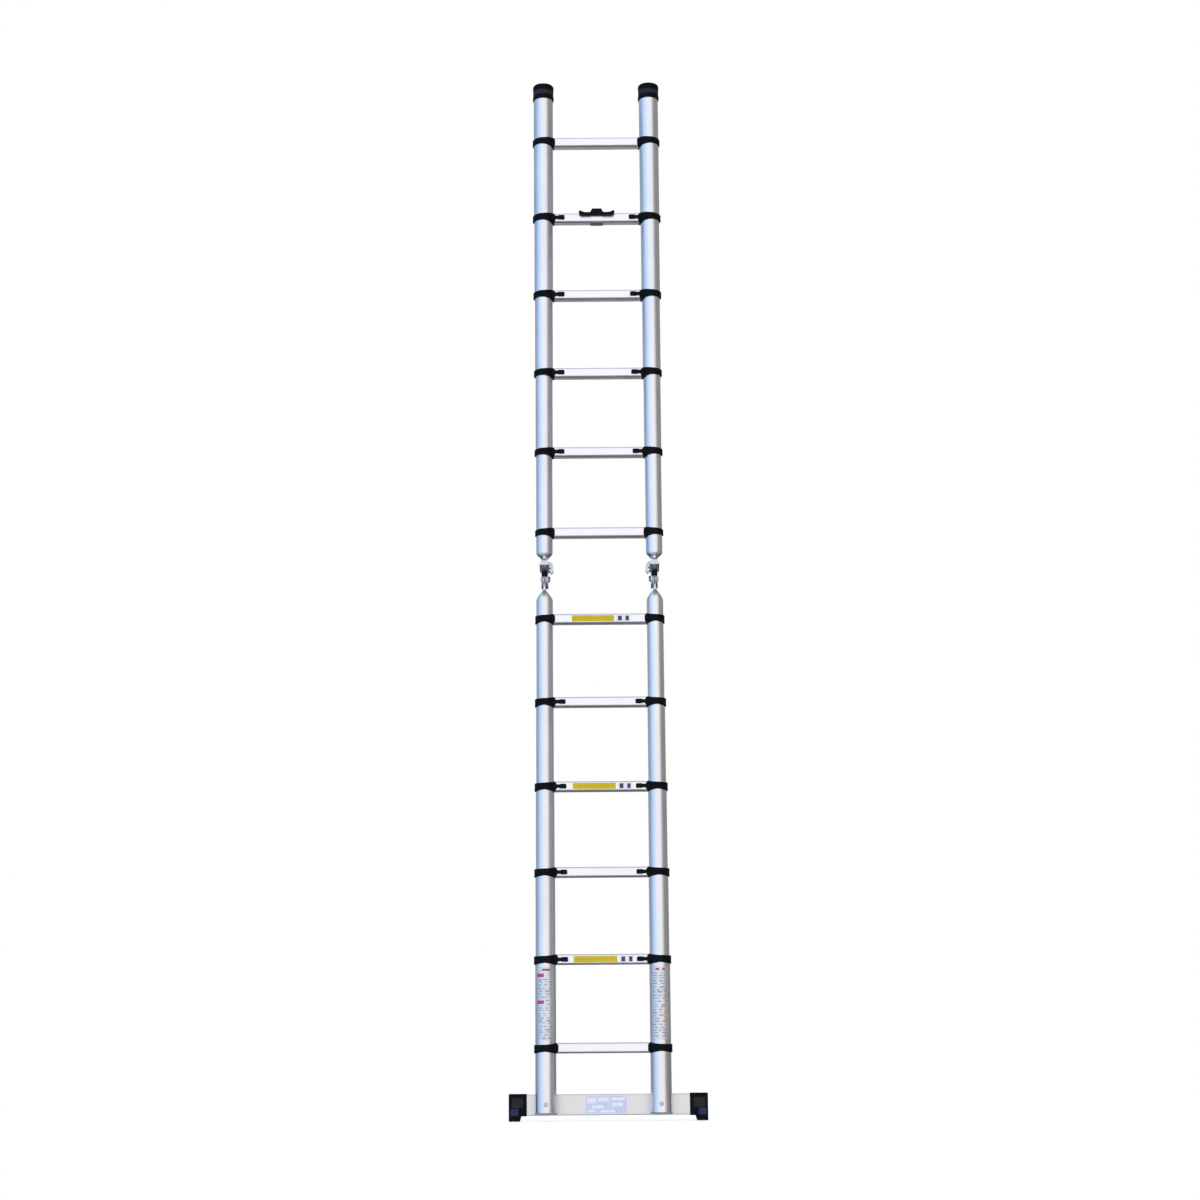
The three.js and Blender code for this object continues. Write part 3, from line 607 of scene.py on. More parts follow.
def collar_mesh(radius, half):
    """The collar of a left rung end, about the stile's axis and the rung's level, its long leg down.

    The upper half's collars are turned over, so their long leg is up.
    """
    inner, outer = radius + 0.0002, radius + COLLAR_THICKNESS
    bm = bmesh.new()
    rings = []
    f = COLLAR_FILLET
    for i in range(COLLAR_SIDES):
        angle = 2 * math.pi * i / COLLAR_SIDES
        c = math.cos(angle)
        inwards, outwards = max(0, c), max(0, -c)
        if half == "lower":
            top = COLLAR_FRONT + 0.005 * inwards ** 1.5 - 0.0005 * outwards
            low = -COLLAR_FRONT - 0.0063 * inwards ** 1.2 - 0.005 * outwards ** 1.5
        else:
            top = COLLAR_FRONT + 0.0058 * inwards ** 1.3 - 0.0005 * outwards
            low = -COLLAR_FRONT - 0.0063 * inwards ** 1.2 + 0.0025 * outwards ** 2
        middle = (top + low) / 2
        profile = [
            (inner, low), (outer - f, low), (outer - 0.3 * f, low + 0.3 * f),
            (outer, low + f), (outer - 0.0003, middle - 0.004), (outer - 0.0005, middle),
            (outer - 0.0003, middle + 0.004), (outer, top - f), (outer - 0.3 * f, top - 0.3 * f),
            (outer - f, top), (inner, top),
        ]
        rings.append([bm.verts.new((r * math.cos(angle), r * math.sin(angle), z)) for r, z in profile])
    for first, second in zip(rings, rings[1:] + rings[:1]):
        bridge(bm, first, second)
    ring_mesh = mesh_of(bm, "collar_ring")

    def outline(half_depth, half_height, corner):
        return box_outline(-half_depth, half_depth, -half_height, half_height, corner, 8)

    def nose(b):
        """How far the socket's end is cut back above and below its middle."""
        return (-0.005 if half == "upper" and b > 0 else -0.010) * abs(b / 0.0186) ** 3

    bm = bmesh.new()
    outer_line = outline(SOCKET_HALF_DEPTH, SOCKET_HALF_HEIGHT, SOCKET_CORNER)
    inner_line = outline(*[size + SOCKET_GAP for size in (RUNG_HALF_DEPTH, RUNG_HALF_HEIGHT, RUNG_CORNER)])
    end = outer + SOCKET_REACH
    begin = radius * 0.72
    outers, inners = [], []
    for x, inset, bend in ((begin, 0, 0), (end - 0.0012, 0, 1), (end - 0.0004, 0.0003, 1), (end, 0.0011, 1)):
        depth_share = 1 - inset / SOCKET_HALF_DEPTH
        height_share = 1 - inset * 0.4 / SOCKET_HALF_HEIGHT
        outers.append([bm.verts.new((x + bend * nose(b), a * depth_share, b * height_share))
                       for a, b in outer_line])
    for x, bend in ((begin, 0), (end, 1)):
        inners.append([bm.verts.new((x + bend * nose(b), a, b)) for a, b in inner_line])
    for chain in (outers, inners):
        for first, second in zip(chain, chain[1:]):
            bridge(bm, first, second)
    bridge(bm, outers[0], inners[0])
    bridge(bm, outers[-1], inners[-1])
    bore = tool("DIFFERENCE", rod, (0, 0, -0.05), (0, 0, 0.05), radius + 0.0017, 72)
    socket_mesh = boolean(mesh_of(bm, "collar_socket"), [bore])
    return boolean(ring_mesh, [("UNION", socket_mesh)])


collar_meshes = {}
for number in range(1, RUNG_COUNT + 1):
    radius = grip_radius(number)
    key = (round(radius, 5), half_of(number))
    if key not in collar_meshes:
        collar_meshes[key] = dressed(collar_mesh(radius, half_of(number)), "black_plastic")
    for side, inward in SIDES.items():
        turn = Matrix.Rotation(0 if inward > 0 else math.pi, 4, "Z")
        flip = Matrix.Rotation(0 if half_of(number) == "lower" else math.pi, 4, "X")
        place = Matrix.Translation((stile_x(side), 0, rung_z(number))) @ turn @ flip
        name = f"collar_{number:02d}_{side}"
        placed(name, collar_meshes[key], body_of[rung_name(number)], smooth=40, matrix=place)


# ---- thumb slides


def slide_mesh(reach, depth):
    """A slide whose knob ends at x = 0 and runs to x = -reach at its pin's tip, for a left rung end."""
    half = KNOB_HALF_HEIGHT
    knob_back = -RUNG_HALF_DEPTH - 0.0003
    bm = bmesh.new()
    front = -depth
    knob = fillet([(0, half, KNOB_CORNER), (0, -half, KNOB_CORNER), (-KNOB_LENGTH, -half, KNOB_CORNER),
                   (-KNOB_LENGTH, half, KNOB_CORNER)], 8)
    layers = [(knob_back, 1.0), (front + 0.0018, 1.0), (front + 0.0006, 0.95), (front, 0.86)]
    rings = []
    for y, share in layers:
        rings.append([bm.verts.new((-KNOB_LENGTH / 2 + (a + KNOB_LENGTH / 2) * share, y, b * share))
                      for a, b in knob])
    for first, second in zip(rings, rings[1:]):
        bridge(bm, first, second)
    bm.faces.new(rings[0])
    bm.faces.new(rings[-1])
    knob_mesh = mesh_of(bm, "knob")
    steps = []
    for k in range(5):
        x = -KNOB_LENGTH / 2 + (k - 2) * GROOVE_PITCH
        steps.append(tool("DIFFERENCE", block, (x - GROOVE_HALF_WIDTH, front - 0.001, -half),
                          (x + GROOVE_HALF_WIDTH, front + 0.0007, half)))
    neck_line = fillet([(NECK_FRONT, NECK_HALF_HEIGHT, 0.0012), (NECK_BACK, NECK_HALF_HEIGHT, 0),
                        (NECK_BACK, -NECK_HALF_HEIGHT, 0), (NECK_FRONT, -NECK_HALF_HEIGHT, 0.0012)], 4)
    root = -KNOB_LENGTH
    steps.append(tool("UNION", prism, neck_line, "X", root - NECK_REACH, root + 0.004))
    steps.append(tool("UNION", block, (root + 0.0002, knob_back - 0.001, -STEM_HALF_HEIGHT),
                      (root + STEM_LENGTH, 0.003, STEM_HALF_HEIGHT)))
    steps.append(tool("UNION", rod, (-reach, 0, 0), (root + STEM_LENGTH - 0.0005, 0, 0), PIN_RADIUS, 24,
                      chamfer=0.001))
    return boolean(knob_mesh, steps)


slide_meshes = {}
for number in range(1, RUNG_COUNT + 1):
    if not has_slides(number):
        continue
    for side, inward in SIDES.items():
        name = f"button_{number:02d}_{side}"
        low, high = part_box(name)
        reach = high.x - low.x
        key = round(reach, 5)
        if key not in slide_meshes:
            slide_meshes[key] = dressed(slide_mesh(reach, -low.y), "button_plastic")
        place = Matrix.Translation((slide_end(number, side), 0, rung_z(number)))
        place = place @ Matrix.Rotation(0 if inward > 0 else math.pi, 4, "Y")
        placed(name, slide_meshes[key], body_of[name], [name], matrix=place)


# ---- hinges

LEAF_HALF = 0.003
HUB_HALF = 0.0076
HUB_RADIUS = 0.034
CHEEK_INNER = 0.008
CHEEK_OUTER = 0.012
CHEEK_RADIUS = 0.036
PIVOT_BORE = 0.0063
LOCK_WIDTH = 0.019
LOCK_BOLT_RISE = 0.024
LOCK_INNER = 0.0215
BARREL_RADIUS = 0.0046
EAR_THICKNESS = 0.003
LEVER_PIN_RADIUS = 0.0025
BRIDGE_LOW_RISE = HUB_RADIUS + 0.0025
BRIDGE_TOP_RISE = 0.048
HEAD_DEPTH = 0.030
TANG_HALF_WIDTH = 0.030
APRON_HALF = 0.017
APRON_FRONT = -0.031
APRON_LOW_RISE = 0.0366


def bolt_head(bm, x, outward, radius, thickness, y, z, index=0):
    """A six-sided head with a washer face, standing out from x."""
    rod(bm, (x, y, z), (x + outward * thickness * 0.22, y, z), radius * 1.12, 40, index, 0.0003)
    rod(bm, (x + outward * thickness * 0.2, y, z), (x + outward * thickness, y, z), radius, 6, index, 0.0008)


def lower_leaf(side):
    """A plate pressed into the lower tube, with the hub that the upper leaf's cheeks straddle."""
    name = f"hinge_leaf_lower_{side}"
    low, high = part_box(name)
    inward = SIDES[side]
    x = stile_x(side)
    y, z = pivot.y, pivot.z
    crimp_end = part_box(f"lower_tube_{TUBE_COUNT}_{side}")[1].z
    shoulder = crimp_end + 0.001
    width = TANG_HALF_WIDTH
    outline = [(-width, low.z), (width, low.z), (width, shoulder), (0.038, shoulder)]
    outline += arc(y, z, HUB_RADIUS, -1.75, 2.6, 60)
    outline += [(low.y, shoulder + 0.011), (low.y, shoulder), (-width, shoulder)]
    bm = bmesh.new()
    prism(bm, outline, "X", x - LEAF_HALF, x + LEAF_HALF)
    bevel(piece(name, bm, "hinge_steel", body_of[name], replaces=[name]), 0.0007)
    bm = bmesh.new()
    bore, chamfer = PIVOT_BORE - 0.0004, 0.0012
    profile = [(bore, -HUB_HALF), (HUB_RADIUS - chamfer, -HUB_HALF), (HUB_RADIUS, -HUB_HALF + chamfer),
               (HUB_RADIUS, HUB_HALF - chamfer), (HUB_RADIUS - chamfer, HUB_HALF), (bore, HUB_HALF)]
    revolve(bm, profile, 0, segments=72)
    turn = Matrix.Translation((x, y, z)) @ Matrix.Rotation(math.pi / 2, 4, "Y")
    bmesh.ops.transform(bm, matrix=turn, verts=bm.verts)
    piece(f"hinge_hub_{side}", bm, "hinge_steel", body_of[name])
    bm = bmesh.new()
    head = abs(high.x - x) if inward > 0 else abs(low.x - x)
    nut = abs(low.x - x) if inward > 0 else abs(high.x - x)
    rod(bm, (x - inward * (nut + 0.0004 - 0.0012), y, z), (x + inward * (head - 0.001), y, z), 0.0058, 32,
        chamfer=0.0006)
    bolt_head(bm, x + inward * (CHEEK_OUTER + 0.0003), inward, 0.0105, head - CHEEK_OUTER - 0.0004, y, z)
    bolt_head(bm, x - inward * (CHEEK_OUTER + 0.0003), -inward, 0.0092, nut - CHEEK_OUTER - 0.0010, y, z)
    piece(f"hinge_bolt_{side}", bm, "fastener_steel", body_of[name], smooth=25)
    bm = bmesh.new()
    front, back, foot, top = 0.006, 0.0155, z + 0.004, z + 0.0193
    bumper = fillet([(front, foot, 0.003), (back, foot, 0.001), (back, top, 0.001), (front, top, 0.004)], 6)
    prism(bm, bumper, "X", x - 0.010, x + 0.010)
    bevel(piece(f"hinge_bumper_{side}", bm, "button_plastic", body_of[name]), 0.0012)


def apron(side, body):
    """The sloping plate under the front of the cheeks, with a flange turned up at each side."""
    x, z = stile_x(side), pivot.z
    front_low, back_low = (APRON_FRONT, z + APRON_LOW_RISE), (0.021, z + 0.018)
    flange = [front_low, back_low, (0.0225, z + 0.027), (-0.012, z + 0.0455), (APRON_FRONT, z + 0.0455)]
    bm = bmesh.new()
    prism(bm, [(APRON_FRONT, z + 0.041), front_low, back_low, (0.0225, z + 0.0215)], "X",
          x - APRON_HALF, x + APRON_HALF)
    mesh = boolean(mesh_of(bm, "apron"), [
        tool("UNION", prism, flange, "X", x + way * (APRON_HALF - 0.0025), x + way * APRON_HALF)
        for way in (-1, 1)])
    bevel(placed(f"hinge_apron_{side}", dressed(mesh, "hinge_steel"), body), 0.0009)


def upper_leaf(side):
    """Two cheeks about the hub, a head and bridge between them and a tang pressed into the upper tube."""
    name = f"hinge_leaf_upper_{side}"
    body = body_of[name]
    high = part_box(name)[1]
    inward = SIDES[side]
    x = stile_x(side)
    y, z = pivot.y, pivot.z
    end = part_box(f"upper_tube_{TUBE_COUNT}_{side}")[0].z
    lock = joints[f"hinge_lock_{side}_turn"]["pos_m"]
    top, bridge_low, bridge_top = end - 0.0005, z + BRIDGE_LOW_RISE, z + BRIDGE_TOP_RISE
    outline = [(0.072, bridge_top), (HEAD_DEPTH, bridge_top), (HEAD_DEPTH, top), (-HEAD_DEPTH, top),
               (-HEAD_DEPTH, z + 0.037)]
    outline += arc(y, z, CHEEK_RADIUS, 2.6, 2 * math.pi + 0.35, 60)
    for tag, start, stop in (("inner", CHEEK_INNER, CHEEK_OUTER), ("outer", -CHEEK_OUTER, -CHEEK_INNER)):
        bm = bmesh.new()
        prism(bm, outline, "X", x + inward * start, x + inward * stop)
        steps = [tool("DIFFERENCE", rod, (x - 0.03, y, z), (x + 0.03, y, z), PIVOT_BORE, 40)]
        if tag == "inner":
            lock_low, lock_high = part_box(f"hinge_lock_{side}")
            bolt_y, bolt_z = (lock_low.y + lock_high.y) / 2, z + LOCK_BOLT_RISE
            steps.append(tool("DIFFERENCE", rod, (x, bolt_y, bolt_z), (x + inward * 0.03, bolt_y, bolt_z),
                              0.006, 32))
        mesh = dressed(boolean(mesh_of(bm, "cheek"), steps), "hinge_steel")
        made = placed(f"hinge_cheek_{tag}_{side}", mesh, body,
                      [name] if tag == "inner" else [])
        bevel(made, 0.0006, 2)
    bm = bmesh.new()
    front, back = -HEAD_DEPTH + 0.0003, HEAD_DEPTH - 0.0002
    line = [(front, bridge_low), (y + 0.007, bridge_low), (y + 0.007, bridge_top - 0.0002),
            (back, bridge_top - 0.0002), (back, top - 0.0002), (front, top - 0.0002)]
    prism(bm, line, "X", x - CHEEK_OUTER + 0.0002, x + CHEEK_OUTER - 0.0002)
    bevel(piece(f"hinge_bridge_{side}", bm, "hinge_steel", body), 0.0012)
    apron(side, body)
    bm = bmesh.new()
    block(bm, (x - LEAF_HALF, -TANG_HALF_WIDTH, end - 0.001), (x + LEAF_HALF, TANG_HALF_WIDTH, high.z))
    piece(f"hinge_tang_{side}", bm, "hinge_steel", body)
    reach = LOCK_WIDTH / 2 + 0.0003
    root, tip = x + inward * (CHEEK_OUTER - 0.001), lock[0] + inward * BARREL_RADIUS
    ear = fillet([(root, bridge_low, 0), (tip, bridge_low, 0.002), (tip, lock[2] + BARREL_RADIUS, 0.0042),
                  (root, lock[2] + BARREL_RADIUS, 0)], 6)
    bm = bmesh.new()
    for way in (-1, 1):
        prism(bm, ear, "Y", lock[1] + way * reach, lock[1] + way * (reach + EAR_THICKNESS))
    piece(f"hinge_ears_{side}", bm, "hinge_steel", body)
    bm = bmesh.new()
    reach += EAR_THICKNESS + 0.0005
    rod(bm, (lock[0], lock[1] - reach, lock[2]), (lock[0], lock[1] + reach, lock[2]), LEVER_PIN_RADIUS, 24,
        chamfer=0.0004)
    piece(f"hinge_lock_pin_{side}", bm, "fastener_steel", body)


def hinge_lock(side):
    """A bowed spring lever with the lock bolt in its middle."""
    name = f"hinge_lock_{side}"
    inward = SIDES[side]
    x = stile_x(side)
    low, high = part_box(name)
    y0, y1 = low.y, high.y
    lock = joints[f"{name}_turn"]["pos_m"]

    def at(dx, rise):
        return (x + inward * dx, pivot.z + rise)

    pin_x, pin_rise = abs(lock[0] - x), lock[2] - pivot.z
    outer = abs((high.x if inward > 0 else low.x) - x)
    top, under, tip = pin_rise + BARREL_RADIUS, pin_rise - BARREL_RADIUS, low.z - pivot.z
    middle = (top + tip) / 2
    outline = bezier(at(pin_x, top), at(outer, top), at(outer, middle))
    outline += bezier(at(outer, middle), at(outer, tip), at(LOCK_INNER, tip))
    outline += [at(LOCK_INNER, tip)]
    outline += bezier(at(LOCK_INNER, middle), at(LOCK_INNER, under), at(pin_x, under))
    outline += [at(pin_x, under)]
    bm = bmesh.new()
    prism(bm, outline, "Y", y0, y1)
    mesh = boolean(mesh_of(bm, name), [
        tool("UNION", rod, (lock[0], y0, lock[2]), (lock[0], y1, lock[2]), BARREL_RADIUS, 32),
        tool("DIFFERENCE", rod, (lock[0], y0 - 0.01, lock[2]), (lock[0], y1 + 0.01, lock[2]),
             LEVER_PIN_RADIUS + 0.0003, 24)])
    bevel(placed(name, dressed(mesh, "hinge_steel"), body_of[name], [name]), 0.0006, 2)
    bm = bmesh.new()
    bolt_y, bolt_z = (y0 + y1) / 2, pivot.z + LOCK_BOLT_RISE
    rod(bm, (x + inward * (CHEEK_INNER + 0.0003), bolt_y, bolt_z),
        (x + inward * (LOCK_INNER + 0.002), bolt_y, bolt_z), 0.0045, 32, chamfer=0.0008)
    rod(bm, (x + inward * (LOCK_INNER + 0.001), bolt_y, bolt_z),
        (x + inward * (outer + 0.0006), bolt_y, bolt_z), 0.0036, 24, chamfer=0.0008)
    piece(f"hinge_lock_bolt_{side}", bm, "fastener_steel", body_of[name])


for side in SIDES:
    lower_leaf(side)
    upper_leaf(side)
    hinge_lock(side)


# ---- foot end


BAR_WALL = 0.002
PANEL_DEPTH = 0.0007
TREAD_COUNT = 5
TREAD_PITCH = 0.0062
TREAD_DEPTH = 0.0022


def stabiliser_bar():
    """A hollow flat bar with a shallow groove near each long edge of its faces."""
    name = "stabiliser_bar"
    low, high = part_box(name)
    outer = box_outline(low.y, high.y, low.z, high.z, 0.003)
    inner = box_outline(low.y + BAR_WALL, high.y - BAR_WALL, low.z + BAR_WALL, high.z - BAR_WALL, 0.0015)
    bm = bmesh.new()
    sleeve(bm, outer, inner, [low.x, high.x])
    grooves = [tool("DIFFERENCE", block, (low.x - 0.01, y - 0.0006, z - 0.0008),
                    (high.x + 0.01, y + 0.0006, z + 0.0008))
               for y in (low.y, high.y) for z in (low.z + 0.005, high.z - 0.005)]
    mesh = boolean(mesh_of(bm, name), grooves)
    placed(name, dressed(mesh, "bar_aluminium"), body_of[name], [name])


def bar_foot(side):
    """A rubber cap over the end of the bar, with a ribbed sole and two sunk panels on each face, their floors
    painted a lighter grey above and navy below as painted reflection.
    """
    name = f"bar_foot_{side}"
    low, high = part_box(name)
    bar_low, bar_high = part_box("stabiliser_bar")
    outward = -SIDES[side]
    end = low.x if outward < 0 else high.x
    bottom = bar_low.z - 0.0025
    split = low.z + 0.044

    def at(dx, z, radius=0.0):
        return (end - outward * dx, z, radius)
    outline = fillet([at(0, high.z, 0.003), at(0.062, high.z, 0.002), at(0.062, bottom, 0.003),
                      at(0.0425, bottom, 0.005), at(0.0395, low.z + 0.005, 0.002), at(0.0365, low.z, 0.001),
                      at(0.0025, low.z, 0.002), at(0, low.z + 0.004, 0.002)], 5)
    bm = bmesh.new()
    prism(bm, outline, "Y", low.y, high.y)
    steps = [tool("DIFFERENCE", block, (end - outward * 0.0025, bar_low.y - 0.0003, bar_low.z - 0.0003),
                  (end - outward * 0.070, bar_high.y + 0.0003, bar_high.z + 0.0003))]
    for k in range(TREAD_COUNT):
        dx = TREAD_PITCH + k * TREAD_PITCH
        steps.append(tool("DIFFERENCE", block, (end - outward * dx, low.y - 0.001, low.z - 0.001),
                          (end - outward * (dx + TREAD_DEPTH), high.y + 0.001, low.z + TREAD_DEPTH)))
    for y in (low.y, high.y):
        for near, far, top, base, corner in ((0.010, 0.050, high.z - 0.014, split + 0.001, 0.005),
                                             (0.006, 0.033, split - 0.001, low.z + 0.020, 0.004)):
            line = fillet([at(near, top, corner), at(far, top, corner), at(far, base, corner),
                           at(near, base, corner)], 5)
            steps.append(tool("DIFFERENCE", prism, line, "Y", y - PANEL_DEPTH, y + PANEL_DEPTH))
    mesh = dressed(boolean(mesh_of(bm, name), steps), "foot_rubber", "foot_panel", "foot_toe")
    floors = (low.y + PANEL_DEPTH, high.y - PANEL_DEPTH)
    # Painted reflection: the upper panel floors take the lighter grey and the lower ones the navy
    for face in mesh.polygons:
        if abs(face.normal.y) > 0.99 and min(abs(face.center.y - y) for y in floors) < 0.0001:
            face.material_index = 1 if face.center.z > split else 2
    bevel(placed(name, mesh, body_of[name], [name]), 0.0007, 2)


def stile_foot(side):
    """The plug in the open end of a stile and the bolt that holds the bar behind it."""
    node = f"lower_tube_1_{side}"
    low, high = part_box(node)
    x = stile_x(side)
    radius = (high.x - low.x) / 2
    bore = radius - TUBE_WALL - 0.0002
    profile = [(0, -0.0015), (radius - 0.004, -0.0015), (radius - 0.0005, -0.0005), (radius + 0.0011, 0.0015),
               (radius + 0.0011, 0.0068), (radius + 0.0005, 0.0075), (radius + 0.00015, 0.0075),
               (radius + 0.00015, 0.0004), (bore, 0.0004), (bore, 0.02), (0, 0.02)]
    bm = bmesh.new()
    revolve(bm, [(r, low.z + rise) for r, rise in profile], x, segments=72, closed=False)
    piece(f"stile_plug_{side}", bm, "grey_plastic", body_of[node])
    bar_low, bar_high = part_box("stabiliser_bar")
    z, back = (bar_low.z + bar_high.z) / 2 + 0.003, bar_high.y
    head = [(0, 0.0031), (0.0035, 0.0030), (0.0058, 0.0022), (0.0070, 0.0008), (0.0072, 0), (0.0072, -0.003),
            (0, -0.003)]
    bm = bmesh.new()
    revolve(bm, head, 0, segments=40, closed=False)
    turn = Matrix.Translation((x, -radius, z)) @ Matrix.Rotation(math.pi / 2, 4, "X")
    bmesh.ops.transform(bm, matrix=turn, verts=bm.verts)
    rod(bm, (x, -radius + 0.001, z), (x, back + 0.001, z), 0.003, 20)
    rod(bm, (x, back, z), (x, back + 0.0008, z), 0.0085, 40, chamfer=0.0003)
    rod(bm, (x, back + 0.0006, z), (x, back + 0.0024, z), 0.0062, 6, chamfer=0.0005)
    piece(f"bar_bolt_{side}", bm, "fastener_steel", body_of[node], smooth=25)


stabiliser_bar()
for side in SIDES:
    bar_foot(side)
    stile_foot(side)


# ---- top end


CAP_FLUTES = 54
CAP_BORE = 0.0362


def end_cap(side):
    """A moulded cap over the top of a stile, with a fluted band round its waist, coloured lighter and bluish as a
    painted highlight.
    """
    name = f"end_cap_{side}"
    low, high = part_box(name)
    x = stile_x(side)
    radius = (high.x - low.x) / 2
    tube_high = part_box(f"upper_tube_1_{side}")[1].z
    lip, waist = 0.0012, 0.0019
    skirt = [(0.0014, 0), (0.0004, 0.0006), (0, 0.0018), (0, 0.0100), (0.0003, 0.0108), (lip, 0.0118),
             (lip, 0.0165), (waist, 0.0172), (waist, 0.0358), (lip, 0.0365)]
    crown = [(0.0008, 0.0150), (0.0006, 0.0110), (0.0008, 0.0068), (0.0015, 0.0036), (0.0034, 0.0013),
             (0.0064, 0.0002), (0.0110, 0)]
    profile = [(CAP_BORE, low.z + 0.0006), (CAP_BORE + 0.0006, low.z)]
    profile += [(radius - inset, low.z + rise) for inset, rise in skirt]
    profile += [(radius - inset, high.z - drop) for inset, drop in crown]
    profile += [(0.010, high.z), (0.008, high.z - 0.0008), (0, high.z - 0.0008),
                (0, tube_high + 0.0004), (CAP_BORE, tube_high + 0.0004)]

    def flute(dx, dy, dz, r):
        wave = 1 + 0.006 * math.cos(CAP_FLUTES * math.atan2(dy, dx)) * (r > radius - 0.002)
        return (dx * wave, dy * wave, dz)
    bm = bmesh.new()
    revolve(bm, profile, x, segments=72)
    band = [(radius - 0.0024, low.z + 0.0170), (radius - 0.0017, low.z + 0.0176),
            (radius - 0.0017, low.z + 0.0354), (radius - 0.0024, low.z + 0.0360)]
    # The band's lighter, bluish colour is a painted highlight on the black cap
    revolve(bm, band, x, segments=4 * CAP_FLUTES, index=1, place=flute)
    piece(name, bm, ["black_plastic", "cap_band"], body_of[name], replaces=[name])


for side in SIDES:
    end_cap(side)


# ---- transport latch


LATCH_RUNG = 11
ARM_HALF = 0.014
AXLE_RADIUS = 0.0025
SADDLE_HALF = 0.0235
SADDLE_THICKNESS = 0.0025


def transport_latch():
    """A winged handle in front of the rung, with an arm back to the barrel that it turns on."""
    name = "transport_latch"
    low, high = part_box(name)
    z = rung_z(LATCH_RUNG)
    half = (high.x - low.x) / 2 - 0.0002
    front = low.y
    foot, end, curl = (half - 0.014, 0.004), (half, 0.018), (half - 0.008, 0.022)
    wing = [foot] + bezier(foot, (half - 0.001, 0.005), end)[1:]
    wing += bezier(end, (half - 0.002, 0.025), curl)
    wing += bezier(curl, (half - 0.014, 0.017), (half - 0.026, 0.016))
    corners = [(a, b, 0) for a, b in wing] + [(0.0235, 0.016, 0.006), (0.0175, 0.030, 0.004)]
    right = [(a, z + b, r) for a, b, r in corners]
    left = [(-a, z + b, r) for a, b, r in reversed(corners)]
    bm = bmesh.new()
    prism(bm, fillet(right + left, 8), "Y", front, front + 0.0078)
    axle = Vector(joints["transport_latch_turn"]["pos_m"])
    arm_low = z + RUNG_HALF_HEIGHT + 0.0033
    mesh = boolean(mesh_of(bm, name), [
        tool("UNION", block, (-ARM_HALF, front + 0.002, arm_low), (ARM_HALF, axle.y, arm_low + 0.007)),
        tool("UNION", rod, (-ARM_HALF, axle.y, axle.z), (ARM_HALF, axle.y, axle.z), 0.005, 32),
        tool("DIFFERENCE", rod, (-0.02, axle.y, axle.z), (0.02, axle.y, axle.z), AXLE_RADIUS + 0.0003, 24)])
    bevel(placed(name, dressed(mesh, "black_plastic"), body_of[name], [name]), 0.0012)


def latch_saddle():
    """The band round the rung that carries the latch's axle."""
    z = rung_z(LATCH_RUNG)
    axle = Vector(joints["transport_latch_turn"]["pos_m"])
    body = body_of[rung_name(LATCH_RUNG)]

    def outline(extra):
        half_depth, half_height = RUNG_HALF_DEPTH + extra, RUNG_HALF_HEIGHT + extra
        return box_outline(-half_depth, half_depth, z - half_height, z + half_height, RUNG_CORNER + extra, 8)
    bm = bmesh.new()
    sleeve(bm, outline(SADDLE_THICKNESS), outline(0.0001), [-SADDLE_HALF, SADDLE_HALF])
    ear = fillet([(0.008, z + 0.017, 0), (0.0225, z + 0.005, 0), (axle.y + 0.006, axle.z - 0.004, 0.003),
                  (axle.y + 0.005, axle.z + 0.005, 0.0045), (axle.y - 0.006, axle.z + 0.005, 0.003),
                  (0.014, z + 0.0195, 0)], 6)
    mesh = boolean(mesh_of(bm, "latch_saddle"),
                   [tool("UNION", prism, ear, "X", way * 0.0143, way * 0.018) for way in (-1, 1)])
    bevel(placed("latch_saddle", dressed(mesh, "rung_aluminium"), body), 0.0005, 2)
    bm = bmesh.new()
    rod(bm, (-0.0186, axle.y, axle.z), (0.0186, axle.y, axle.z), AXLE_RADIUS, 24, chamfer=0.0004)
    piece("latch_axle", bm, "fastener_steel", body)


transport_latch()
latch_saddle()


# ---- labels


def on_rung(z):
    """Places (x, distance up the rung's front) on the front of a rung."""
    flat = RUNG_HALF_HEIGHT - RUNG_CORNER

    def place(u, v, lift):
        r = RUNG_CORNER + lift
        if abs(v) <= flat:
            return (u, -RUNG_HALF_DEPTH - lift, z + v)
        turn = (abs(v) - flat) / RUNG_CORNER
        return (u, -(RUNG_HALF_DEPTH - RUNG_CORNER) - r * math.cos(turn),
                z + math.copysign(flat + r * math.sin(turn), v))
    return place


INK = (LABEL_THICKNESS, 2 * LABEL_THICKNESS)
FILM = (0.00002, LABEL_THICKNESS)


def rung_label(number):
    """A yellow label with faint generic bars, and two small dark squares on a pale film beside it."""
    place = on_rung(rung_z(number))
    start = stile_x("left") + 0.0975
    bm = bmesh.new()
    slab(bm, place, (start, start + 0.151), (-0.0110, 0.0110), (2, 16), *FILM, 0)
    rng = random.Random(number)
    x = start + 0.006
    while x < start + 0.139:
        width = rng.uniform(0.004, 0.012)
        slab(bm, place, (x, x + width), (-0.0028, 0.0028), (1, 4), *INK, 1)
        x += width + rng.uniform(0.002, 0.006)
    slab(bm, place, (start + 0.158, start + 0.209), (-0.0110, 0.0110), (1, 16), *FILM, 3)
    for left, width in ((0.1645, 0.0135), (0.1915, 0.0115)):
        slab(bm, place, (start + left, start + left + width), (-0.0085, 0.0085), (1, 12), *INK, 2)
    piece(f"label_{rung_name(number)}", bm, ["label_yellow", "ink_orange", "ink_navy", "ink_white"],
          body_of[rung_name(number)])


